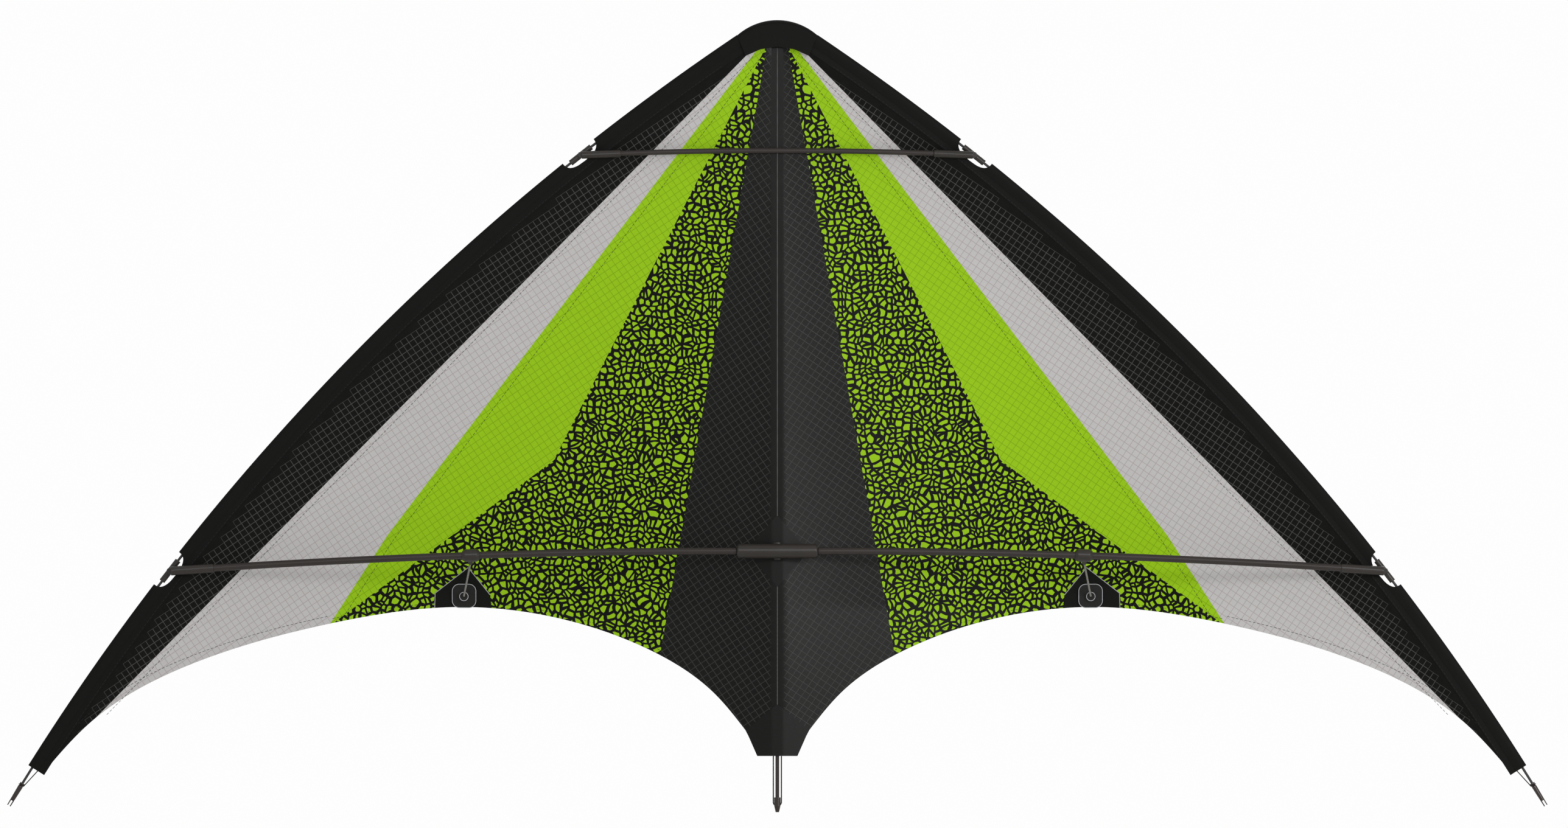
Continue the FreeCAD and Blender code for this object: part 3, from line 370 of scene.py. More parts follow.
@dataclass
class Draft:
    """Gathers closed shapes and turns them into one piece with a surface map."""

    points: list[Array] = field(default_factory=list)
    maps: list[Array] = field(default_factory=list)
    faces: list[list[int]] = field(default_factory=list)
    count: int = 0

    def add(self, points: Array, quads: Array, ends: list[Array], surface: Array) -> None:
        """Add one closed shape, with its faces turned outwards.

        The signed volume is the sum over the faces of p0 . (p1 x p2) / 6, taken about the
        shape's middle. If it is below nothing, every face is turned round.

        Args:
            points: The shape's points, as rows.
            quads: Its four-sided faces.
            ends: Its many-sided end faces.
            surface: Each point's place on the surface map.
        """
        middle = points - points.mean(axis=0)
        a, b, c, d = (middle[quads[:, k]] for k in range(4))
        volume = np.einsum("ij,ij->", a, np.cross(b, c)) + np.einsum("ij,ij->", a, np.cross(c, d))
        for end in ends:
            ring = middle[end]
            volume += np.einsum("ij,ij->", np.broadcast_to(ring[0], ring[1:-1].shape),
                                np.cross(ring[1:-1], ring[2:]))
        if volume < 0:
            quads = quads[:, ::-1]
            ends = [end[::-1] for end in ends]
        self.points.append(points)
        self.maps.append(surface)
        self.faces += (quads + self.count).tolist() + [(end + self.count).tolist() for end in ends]
        self.count += len(points)

    def cloth(self, front: Array, back: Array, surface: Array) -> None:
        """Add a sheet with thickness: two grids joined round their border.

        Args:
            front: The front grid, rows by columns by three.
            back: The back grid.
            surface: The grid's place on the surface map, rows by columns by two.
        """
        rows, columns = front.shape[:2]
        size = rows * columns
        index = np.arange(size).reshape(rows, columns)
        faces = grid_quads(rows, columns, False, False)
        border = np.concatenate([index[:-1, 0], index[-1, :-1], index[:0:-1, -1],
                                 index[0, :0:-1]])
        after = np.roll(border, -1)
        rim = np.stack([after, border, border + size, after + size], axis=1)
        quads = np.vstack([faces, faces[:, ::-1] + size, rim])
        flat = surface.reshape(-1, 2)
        self.add(np.vstack([front.reshape(-1, 3), back.reshape(-1, 3)]), quads, [],
                 np.vstack([flat, flat]))

    def tube(self, rings: Array, surface: Array, closed: bool = False) -> None:
        """Add rings joined into a tube, capped at both ends or joined end to end.

        Args:
            rings: The rings, rings by points by three.
            surface: Their place on the surface map.
            closed: Whether the last ring joins the first.
        """
        rows, columns = rings.shape[:2]
        quads = grid_quads(rows, columns, closed, True)
        first = np.arange(columns)
        ends = [] if closed else [first, first[::-1] + (rows - 1) * columns]
        self.add(rings.reshape(-1, 3), quads, ends, surface.reshape(-1, 2))

    def piece(self, name: str, finish: "Finish", smooth: float = 35.0) -> bpy.types.Object:
        """Turn the draft into an object at the origin.

        Args:
            name: The piece's name.
            finish: The finish that it wears.
            smooth: The angle in degrees above which an edge stays sharp.

        Returns:
            The new object.
        """
        mesh = bpy.data.meshes.new(name)
        mesh.from_pydata(np.vstack(self.points), [], self.faces)
        layer = mesh.uv_layers.new(name=SURFACE_MAP)
        corner = np.empty(len(mesh.loops), dtype=np.int32)
        mesh.loops.foreach_get("vertex_index", corner)
        layer.data.foreach_set("uv", np.vstack(self.maps)[corner].astype(np.float32).ravel())
        mesh.shade_smooth()
        mesh.set_sharp_from_angle(angle=math.radians(smooth))
        mesh.materials.append(finish.material())
        mesh.update()
        obj = bpy.data.objects.new(name, mesh)
        bpy.context.scene.collection.objects.link(obj)
        LOG.info("%s: %d faces", name, len(mesh.polygons))
        return obj


def unit(vectors: Array) -> Array:
    """Scale vectors to length one, along the last axis."""
    return vectors / np.linalg.norm(vectors, axis=-1, keepdims=True)


def carried(path: Array, widths: Array, heights: Array, sides: int,
            up: Array) -> tuple[Array, Array]:
    """Carry an oval along a path.

    Each ring is the path's point, plus cos t times the half width along the side direction,
    plus sin t times the half height along the raised direction, with t once round. The side
    direction is square to the path and to up.

    Args:
        path: The path's points, as rows.
        widths: The half width at each point.
        heights: The half height at each point.
        sides: Points round a ring.
        up: A direction that is never along the path.

    Returns:
        The rings, and their place on the surface map as arc length round and along.
    """
    ahead = unit(np.gradient(path, axis=0))
    side = unit(np.cross(ahead, up))
    raised = np.cross(side, ahead)
    t = np.linspace(0.0, 2 * math.pi, sides, endpoint=False)
    rings = (path[:, None] + np.cos(t)[None, :, None] * (widths[:, None] * side)[:, None]
             + np.sin(t)[None, :, None] * (heights[:, None] * raised)[:, None])
    run = np.concatenate([[0.0], np.cumsum(np.linalg.norm(np.diff(path, axis=0), axis=1))])
    around = t[None, :] * widths[:, None]
    surface = np.stack([around, np.broadcast_to(run[:, None], around.shape)], axis=-1)
    return rings, surface


def cord(path: Array, radius: float, sides: int, up: Array,
         closed: bool = False) -> tuple[Array, Array]:
    """Carry a circle along a path.

    On a closed path the last point is put before the first and the first after the last, so
    that the rings at the join turn as the others do. Their own rings are left out.

    Args:
        path: The path's points, as rows.
        radius: The circle's radius.
        sides: Points round a ring.
        up: A direction that is never along the path.
        closed: Whether the path joins its own start.

    Returns:
        The rings, and their place on the surface map.
    """
    line = np.vstack([path[-1:], path, path[:1]]) if closed else path
    girth = np.full(len(line), radius)
    rings, surface = carried(line, girth, girth, sides, up)
    return (rings[1:-1], surface[1:-1]) if closed else (rings, surface)


def turned(start: Array, axis: Array, profile: Array, sides: int) -> tuple[Array, Array]:
    """Turn a profile about an axis.

    Each ring is the start, plus the axis times the profile's first column, plus the circle of
    the profile's second column in the two directions square to the axis.

    Args:
        start: The point from which the profile's distances run.
        axis: The axis direction.
        profile: Rows of distance along the axis and radius.
        sides: Points round a ring.

    Returns:
        The rings, and their place on the surface map.
    """
    axis = unit(axis)
    helper = BACK if abs(axis[1]) < 0.9 else np.array([1.0, 0.0, 0.0])
    side = unit(np.cross(axis, helper))
    raised = np.cross(side, axis)
    t = np.linspace(0.0, 2 * math.pi, sides, endpoint=False)
    circle = np.cos(t)[:, None] * side + np.sin(t)[:, None] * raised
    rings = start + profile[:, 0, None, None] * axis + profile[:, 1, None, None] * circle[None]
    around = t[None, :] * profile[:, 1, None]
    surface = np.stack([around, np.broadcast_to(profile[:, 0, None], around.shape)], axis=-1)
    return rings, surface


def arc_points(start: Array, end: Array, bow: Array, count: int) -> Array:
    """Give points of the circular arc from start to end whose middle stands off by bow.

    The centre lies on the bow's line at the radius (half chord squared + bow squared) / (2 bow),
    and the points are the two unit directions mixed by even turns.

    Args:
        start: The first point.
        end: The last point.
        bow: The vector from the chord's middle to the arc's.
        count: How many points to give.

    Returns:
        The points, as rows.
    """
    chord = end - start
    rise = float(np.linalg.norm(bow))
    radius = (float(chord @ chord) / 4 + rise**2) / (2 * rise)
    toward = bow / rise
    centre = (start + end) / 2 - toward * (radius - rise)
    half = math.asin(float(np.linalg.norm(chord)) / (2 * radius))
    turn = np.linspace(-half, half, count)[:, None]
    return centre + radius * (np.cos(turn) * toward + np.sin(turn) * unit(chord))


# ------------------------------------------------------------------ finishes


def tone(red: int, green: int, blue: int) -> tuple[float, float, float, float]:
    """Turn a display colour into the linear colour that shaders take.

    A dark share is divided by 12.92. Any other has 0.055 added, is divided by 1.055, and is
    raised to the power 2.4.

    Args:
        red: Red from 0 to 255.
        green: Green from 0 to 255.
        blue: Blue from 0 to 255.

    Returns:
        The linear colour, with full cover.
    """
    share = np.array([red, green, blue]) / 255.0
    dark = share / 12.92
    light = ((share + 0.055) / 1.055) ** 2.4
    linear = np.where(share <= 0.04045, dark, light)
    return float(linear[0]), float(linear[1]), float(linear[2]), 1.0


class Recipe:
    """Builds the nodes of one material, a step at a time."""

    def __init__(self, name: str) -> None:
        """Start a material with its shader and output.

        Args:
            name: The material's name.
        """
        self.material = bpy.data.materials.new(name)
        self.material.use_nodes = True
        self.tree = self.material.node_tree
        self.shader = next(n for n in self.tree.nodes if n.type == "BSDF_PRINCIPLED")

    def node(self, kind: str, **settings: object) -> bpy.types.Node:
        """Add a node and set its options.

        Args:
            kind: The node's type.
            settings: Its options by name.

        Returns:
            The node.
        """
        made = self.tree.nodes.new(kind)
        for key, value in settings.items():
            setattr(made, key, value)
        return made

    def feed(self, target: Socket, value: object) -> None:
        """Link a socket to a target, or set the target's own value.

        Args:
            target: The input to feed.
            value: An output to link, or a plain value.
        """
        if isinstance(value, bpy.types.NodeSocket):
            self.tree.links.new(value, target)
        else:
            target.default_value = value

    def maths(self, operation: str, *values: object) -> Socket:
        """Do one step of arithmetic.

        Args:
            operation: The step's name.
            values: Numbers or sockets.

        Returns:
            The outcome.
        """
        made = self.node("ShaderNodeMath", operation=operation)
        for target, value in zip(made.inputs, values):
            self.feed(target, value)
        return made.outputs[0]

    def ramp(self, value: Socket, low: float, high: float) -> Socket:
        """Rise smoothly from 0 at low to 1 at high.

        Args:
            value: The number to judge.
            low: Where the rise starts.
            high: Where it ends.

        Returns:
            The share from 0 to 1.
        """
        made = self.node("ShaderNodeMapRange", interpolation_type="SMOOTHSTEP")
        for target, given in zip(made.inputs, (value, low, high, 0.0, 1.0)):
            self.feed(target, given)
        return made.outputs[0]

    def colours(self, share: Socket, low: object, high: object, blend: str = "MIX") -> Socket:
        """Mix two colours by a share.

        Args:
            share: 0 for the first colour, 1 for the second.
            low: The first colour.
            high: The second colour.
            blend: How they mix.

        Returns:
            The mixed colour.
        """
        made = self.node("ShaderNodeMix", data_type="RGBA", blend_type=blend)
        self.feed(made.inputs[0], share)
        self.feed(made.inputs[6], low)
        self.feed(made.inputs[7], high)
        return made.outputs[2]

    def vector(self, x: object, y: object, z: object = 0.0) -> Socket:
        """Join three numbers into a vector.

        Args:
            x: The first number.
            y: The second.
            z: The third.

        Returns:
            The vector.
        """
        made = self.node("ShaderNodeCombineXYZ")
        for target, value in zip(made.inputs, (x, y, z)):
            self.feed(target, value)
        return made.outputs[0]

    def surface(self) -> tuple[Socket, Socket]:
        """Read the piece's surface map.

        Returns:
            Its two numbers, in metres.
        """
        parts = self.node("ShaderNodeSeparateXYZ")
        self.feed(parts.inputs[0], self.node("ShaderNodeUVMap", uv_map=SURFACE_MAP).outputs[0])
        return parts.outputs[0], parts.outputs[1]

    def place(self) -> Socket:
        """The piece's own coordinates, in metres."""
        return self.node("ShaderNodeTexCoord").outputs["Object"]

    def noise(self, vector: Socket, scale: float, detail: float = 2.0) -> Socket:
        """Give a soft random number about one half.

        Args:
            vector: The place to read it at.
            scale: Its changes to a metre.
            detail: How many finer layers it has.

        Returns:
            The number.
        """
        made = self.node("ShaderNodeTexNoise")
        self.feed(made.inputs["Vector"], vector)
        made.inputs["Scale"].default_value = scale
        made.inputs["Detail"].default_value = detail
        return made.outputs["Fac"]

    def relief(self, height: Socket, depth: float, strength: float = 1.0) -> None:
        """Raise the surface.

        Args:
            height: The height from 0 to 1.
            depth: What a height of 1 stands for, in metres.
            strength: How much of it shows.
        """
        made = self.node("ShaderNodeBump")
        made.inputs["Strength"].default_value = strength
        made.inputs["Distance"].default_value = depth
        self.feed(made.inputs["Height"], height)
        self.feed(self.shader.inputs["Normal"], made.outputs[0])

    def paint(self, colour: tuple[float, float, float, float], shade: Socket) -> None:
        """Give the surface a colour times a shade from 0 to 1."""
        self.feed(self.shader.inputs["Base Color"], self.shaded(colour, shade))

    def shaded(self, colour: tuple[float, float, float, float], shade: Socket) -> Socket:
        """Multiply a colour by a shade from 0 to 1."""
        return self.colours(1.0, colour, self.vector(shade, shade, shade), "MULTIPLY")

    def sail_relief(self, spot: Socket, raised: Socket, share: float) -> None:
        """Raise sail cloth by its ripples, its fine weave and what is laid on it.

        Args:
            spot: The place on the surface map.
            raised: Where something lies on the cloth, from 0 to 1.
            share: How high it stands beside the ripples.
        """
        weave = self.noise(spot, 2600.0, 1.0)
        ripple = self.noise(spot, 24.0, 1.0)
        height = self.maths("MULTIPLY_ADD", ripple, 1.2, self.maths(
            "MULTIPLY_ADD", weave, 0.12, self.maths("MULTIPLY", raised, share)))
        self.relief(height, 0.0002, 0.6)

    def gloss(self, roughness: object, specular: float) -> None:
        """Set how broad and how strong the reflections are."""
        self.feed(self.shader.inputs["Roughness"], roughness)
        self.shader.inputs["Specular IOR Level"].default_value = specular


@dataclass(frozen=True)
class Finish:
    """A finish with a name, from which one material is made and shared."""

    name: str
    colour: tuple[float, float, float, float]

    def material(self) -> bpy.types.Material:
        """Give the finish's material, made when it is first asked for.

        Returns:
            The material.
        """
        found = bpy.data.materials.get(self.name)
        if found is None:
            recipe = Recipe(self.name)
            self.mix(recipe)
            found = recipe.material
        return found

    def mix(self, recipe: Recipe) -> None:
        """Fill in the recipe."""
        raise NotImplementedError


@dataclass(frozen=True)
class Ripstop(Finish):
    """Light sail cloth with a grid of heavier threads, turned to the cloth's own run."""

    thread: tuple[float, float, float, float] = (0.0, 0.0, 0.0, 1.0)
    spacing: float = 0.00502
    turn: float = math.radians(33.9)
    thread_width: float = 0.0005
    plain_band: float = 0.0
    plain_fold: float = 0.0
    specular: float = 0.2
    roughness: float = 0.55
    variation: float = 0.05

    def threads(self, recipe: Recipe) -> tuple[Socket, Socket, Socket]:
        """Lay the two sets of heavier threads.

        Each set runs square to a direction. The point's distance along it, in spacings, lies
        near a whole number on a thread.

        Args:
            recipe: The material's recipe.

        Returns:
            How much of a thread a point is, and the two counts of spacings.
        """
        x, z = recipe.surface()
        counts, lines = [], []
        for along_x, along_z in ((-math.cos(self.turn), math.sin(self.turn)),
                                 (math.sin(self.turn), math.cos(self.turn))):
            count = recipe.maths("MULTIPLY_ADD", x, along_x / self.spacing,
                                 recipe.maths("MULTIPLY", z, along_z / self.spacing))
            counts.append(count)
            near = recipe.maths("ABSOLUTE", recipe.maths(
                "SUBTRACT", recipe.maths("FRACT", count), 0.5))
            half = self.thread_width / self.spacing / 2
            lines.append(recipe.ramp(near, 0.5 - half * 1.5, 0.5 - half * 0.5))
        line = recipe.maths("MAXIMUM", *lines)
        if self.plain_band:
            line = recipe.maths("MULTIPLY", line, self.grid_begins(recipe, counts))
        if self.plain_fold:
            line = recipe.maths("MULTIPLY", line, recipe.ramp(
                x, self.plain_fold * 0.7, self.plain_fold * 1.3))
        return line, counts[0], counts[1]

    def grid_begins(self, recipe: Recipe, counts: list[Socket]) -> Socket:
        """Leave out whole squares near the leading edge.

        A square's middle is turned back from the counts to X and Z, and its distance from the
        leading edge's centre has to be below the radius less the plain band.

        Args:
            recipe: The material's recipe.
            counts: The two counts of spacings.

        Returns:
            1 where the grid shows and 0 where it does not.
        """
        first, second = (recipe.maths("MULTIPLY", recipe.maths(
            "ADD", recipe.maths("FLOOR", count), 0.5), self.spacing) for count in counts)
        cos, sin = math.cos(self.turn), math.sin(self.turn)
        x = recipe.maths("MULTIPLY_ADD", first, -cos, recipe.maths("MULTIPLY", second, sin))
        z = recipe.maths("MULTIPLY_ADD", first, sin, recipe.maths("MULTIPLY", second, cos))
        wide = recipe.maths("MULTIPLY", recipe.maths("SUBTRACT", x, FORM.arc_x),
                            1 / math.cos(FORM.dihedral))
        tall = recipe.maths("SUBTRACT", z, FORM.arc_z)
        run = recipe.maths("SQRT", recipe.maths(
            "MULTIPLY_ADD", wide, wide, recipe.maths("MULTIPLY", tall, tall)))
        return recipe.maths("LESS_THAN", run, FORM.arc_radius - self.plain_band)

    def mix(self, recipe: Recipe) -> None:
        """Lay slightly uneven squares, heavier threads, a fine weave and ripples.

        Args:
            recipe: The material's recipe.
        """
        line, first, second = self.threads(recipe)
        x, z = recipe.surface()
        spot = recipe.vector(x, z)
        square = recipe.node("ShaderNodeTexWhiteNoise", noise_dimensions="2D")
        recipe.feed(square.inputs["Vector"], recipe.vector(
            recipe.maths("FLOOR", first), recipe.maths("FLOOR", second)))
        uneven = recipe.maths("MULTIPLY_ADD", square.outputs["Value"], self.variation,
                              1 - self.variation / 2)
        cloud = recipe.maths("MULTIPLY_ADD", recipe.noise(spot, 9.0), self.variation,
                             1 - self.variation / 2)
        ground = recipe.shaded(self.colour, recipe.maths("MULTIPLY", uneven, cloud))
        recipe.feed(recipe.shader.inputs["Base Color"], recipe.colours(line, ground, self.thread))
        recipe.gloss(recipe.maths("MULTIPLY_ADD", line, -0.08, self.roughness), self.specular)
        recipe.sail_relief(spot, line, 0.35)


@dataclass(frozen=True)
class Crackle(Finish):
    """Sail cloth printed with a net of dark lines round small rounded cells."""

    ink: tuple[float, float, float, float] = (0.0, 0.0, 0.0, 1.0)
    cell: float = 0.0050
    half_line: float = 0.00102
    swirl: float = 0.0072
    swirl_scale: float = 75.0
    wobble: float = 0.0009
    wobble_scale: float = 320.0

    def moved(self, recipe: Recipe, spot: Socket, scale: float, reach: float) -> Socket:
        """Push a place about by a noise, whose colour is multiplied by the reach and added.

        Args:
            recipe: The material's recipe.
            spot: The place.
            scale: The noise's changes to a metre.
            reach: The most that it pushes, in metres.

        Returns:
            The pushed place.
        """
        noise = recipe.node("ShaderNodeTexNoise")
        recipe.feed(noise.inputs["Vector"], spot)
        noise.inputs["Scale"].default_value = scale
        noise.inputs["Detail"].default_value = 0.0
        shift = recipe.node("ShaderNodeVectorMath", operation="MULTIPLY_ADD")
        recipe.feed(shift.inputs[0], noise.outputs["Color"])
        shift.inputs[1].default_value = (reach, reach, 0.0)
        recipe.feed(shift.inputs[2], spot)
        return shift.outputs[0]

    def mix(self, recipe: Recipe) -> None:
        """Ink every point that lies within half a line of the border between two cells.

        The cells are drawn over places that a slow noise has swirled and a quick one has made
        to wobble, so that some are long and some are small.

        Args:
            recipe: The material's recipe.
        """
        x, z = recipe.surface()
        spot = recipe.vector(x, z)
        swirled = self.moved(recipe, spot, self.swirl_scale, self.swirl)
        place = self.moved(recipe, swirled, self.wobble_scale, self.wobble)
        cells = recipe.node("ShaderNodeTexVoronoi", voronoi_dimensions="2D",
                            feature="DISTANCE_TO_EDGE")
        recipe.feed(cells.inputs["Vector"], place)
        cells.inputs["Scale"].default_value = 1 / self.cell
        cells.inputs["Randomness"].default_value = 0.95
        half = self.half_line / self.cell
        ink = recipe.ramp(cells.outputs["Distance"], half * 1.12, half * 0.88)
        recipe.feed(recipe.shader.inputs["Base Color"], recipe.colours(ink, self.colour, self.ink))
        recipe.gloss(recipe.maths("MULTIPLY_ADD", ink, -0.1, 0.55), 0.08)
        recipe.sail_relief(spot, ink, 0.3)


@dataclass(frozen=True)
class PlainWeave(Finish):
    """Close-woven heavy cloth, as on pockets and patches."""

    specular: float = 0.15
    roughness: float = 0.6
    threads: float = 9000.0

    def mix(self, recipe: Recipe) -> None:
        """Make the weave of two sets of fine waves, and the dye uneven by a slow noise.

        Args:
            recipe: The material's recipe.
        """
        x, z = recipe.surface()
        spot = recipe.vector(x, z)
        warp, weft = (recipe.maths("SINE", recipe.maths("MULTIPLY", run, self.threads))
                      for run in (recipe.maths("ADD", x, z), recipe.maths("SUBTRACT", x, z)))
        weave = recipe.maths("MULTIPLY", warp, weft)
        shade = recipe.maths("MULTIPLY_ADD", recipe.noise(spot, 60.0), 0.16, 0.92)
        recipe.paint(self.colour, shade)
        recipe.gloss(recipe.maths("MULTIPLY_ADD", weave, 0.05, self.roughness), self.specular)
        recipe.relief(recipe.maths("MULTIPLY_ADD", weave, 0.5, recipe.noise(spot, 40.0)),
                      0.00004, 0.6)


@dataclass(frozen=True)
class PulledRod(Finish):
    """A fibreglass rod with fine lengthwise streaks under a worn lacquer."""

    specular: float = 0.18
    roughness: float = 0.36

    def mix(self, recipe: Recipe) -> None:
        """Streak the lacquer by a noise drawn out along the rod.

        Args:
            recipe: The material's recipe.
        """
        around, along = recipe.surface()
        streak = recipe.noise(recipe.vector(around, recipe.maths("MULTIPLY", along, 0.02)), 2400.0)
        worn = recipe.noise(recipe.vector(around, along), 110.0, 3.0)
        shade = recipe.maths("MULTIPLY_ADD", streak, 0.3, recipe.maths(
            "MULTIPLY_ADD", worn, 0.2, 0.75))
        recipe.paint(self.colour, shade)
        recipe.gloss(recipe.maths("MULTIPLY_ADD", worn, 0.16, self.roughness - 0.08),
                     self.specular)
        recipe.relief(streak, 0.00003, 0.5)


@dataclass(frozen=True)
class Moulded(Finish):
    """Moulded rubber or plastic with a fine bloom and handling marks."""

    specular: float = 0.26
    roughness: float = 0.3
    grain: float = 900.0

    def mix(self, recipe: Recipe) -> None:
        """Mark the surface by a fine grain and a slow smear, on the piece's own coordinates.

        Args:
            recipe: The material's recipe.
        """
        spot = recipe.place()
        grain = recipe.noise(spot, self.grain, 3.0)
        smear = recipe.noise(spot, 120.0, 2.0)
        shade = recipe.maths("MULTIPLY_ADD", smear, 0.24, recipe.maths(
            "MULTIPLY_ADD", grain, 0.1, 0.83))
        recipe.paint(self.colour, shade)
        recipe.gloss(recipe.maths("MULTIPLY_ADD", smear, 0.14, self.roughness - 0.07),
                     self.specular)
        recipe.relief(grain, 0.00005, 0.4)


@dataclass(frozen=True)
class Twist(Finish):
    """Thread, line or elastic: fine strands laid at a slant."""

    specular: float = 0.2

    def mix(self, recipe: Recipe) -> None:
        """Let slanting waves on the piece's own coordinates stand for the strands.

        Args:
            recipe: The material's recipe.
        """
        parts = recipe.node("ShaderNodeSeparateXYZ")
        recipe.feed(parts.inputs[0], recipe.place())
        slant = recipe.maths("MULTIPLY_ADD", parts.outputs[0], 1.0, recipe.maths(
            "MULTIPLY", parts.outputs[2], 0.8))
        strand = recipe.maths("MULTIPLY_ADD", recipe.maths("SINE", recipe.maths(
            "MULTIPLY", slant, 7000.0)), 0.5, 0.5)
        shade = recipe.maths("MULTIPLY_ADD", strand, 0.25, 0.8)
        recipe.paint(self.colour, shade)
        recipe.gloss(recipe.maths("MULTIPLY_ADD", strand, 0.1, 0.55), self.specular)
        recipe.relief(strand, 0.00004, 0.5)


@dataclass(frozen=True)
class PaleFloor(Finish):
    """A plain pale studio floor, very slightly uneven."""

    def mix(self, recipe: Recipe) -> None:
        """Lay a slow noise over a nearly even colour.

        Args:
            recipe: The material's recipe.
        """
        shade = recipe.maths("MULTIPLY_ADD", recipe.noise(recipe.place(), 2.0), 0.02, 0.99)
        recipe.paint(self.colour, shade)
        recipe.gloss(recipe.maths("MULTIPLY_ADD", shade, 0.1, 0.7), 0.1)


GREEN_DYE = tone(149, 196, 22)
INK = (0.0035, 0.0035, 0.0032, 1.0)
BLACK_DYE = (0.0068, 0.0068, 0.0062, 1.0)
BLACK_SAIL = Ripstop("sail_black", BLACK_DYE, thread=(0.036, 0.036, 0.034, 1.0), variation=0.2,
                     plain_fold=0.0055, specular=0.12, roughness=0.31)
BLACK_WING = Ripstop("sail_black_wing", BLACK_DYE, thread=(0.066, 0.066, 0.063, 1.0),
                     plain_band=0.020, variation=0.2, specular=0.05, roughness=0.6)
GREY_SAIL = Ripstop("sail_grey", tone(193, 191, 190), thread=tone(172, 163, 164), variation=0.03,
                    specular=0.1)
GREEN_SAIL = Ripstop("sail_green", GREEN_DYE, thread=tone(126, 170, 8), variation=0.03,
                     specular=0.08)
PRINT_SAIL = Crackle("sail_print", GREEN_DYE, ink=INK)
POCKET_CLOTH = PlainWeave("pocket_cloth", BLACK_DYE, specular=0.06)
PATCH_CLOTH = PlainWeave("patch_cloth", BLACK_DYE, specular=0.06)
KEEL_PATCH_CLOTH = PlainWeave("keel_patch_cloth", (0.0078, 0.0078, 0.0072, 1.0), specular=0.12,
                              roughness=0.38)
ROD = PulledRod("rod_lacquer", tone(54, 49, 47))
STANDOFF_ROD = PulledRod("standoff_lacquer", tone(122, 118, 114), roughness=0.26, specular=0.4)
EDGE_ROD = PulledRod("edge_rod_lacquer", tone(58, 56, 56))
RUBBER = Moulded("fitting_rubber", tone(50, 46, 43))
SOCKET_PLASTIC = Moulded("socket_plastic", tone(30, 30, 29), roughness=0.5, specular=0.15)
NOCK_PLASTIC = Moulded("nock_plastic", tone(42, 32, 28), roughness=0.24, specular=0.5)
# Pale colour: the standoff patch's own edge thread, and painted highlight on the standoff socket's
# plate edge and cup rim.
PALE_THREAD_AND_HIGHLIGHT = Moulded("pale_bead", tone(172, 172, 176), roughness=0.5)
DARK_THREAD = Twist("thread_dark", tone(34, 34, 36))
FAINT_THREAD = Twist("thread_faint", tone(32, 32, 31))
SPINE_THREAD = Twist("thread_spine", tone(78, 77, 76))
LINE = Twist("braided_line", tone(40, 38, 36))
FLOOR = PaleFloor("floor_paint", (0.9, 0.9, 0.895, 1.0))


# ------------------------------------------------------------------ the sail


@dataclass(frozen=True)
class Panel:
    """One cloth panel of a wing, between two seams and the trailing edge."""

    name: str
    node: str
    slot: str
    inner: Seam
    outer: Seam | None
    finish: Finish
    cut: tuple[float, float, float]
    columns: int
    rows: int = 120


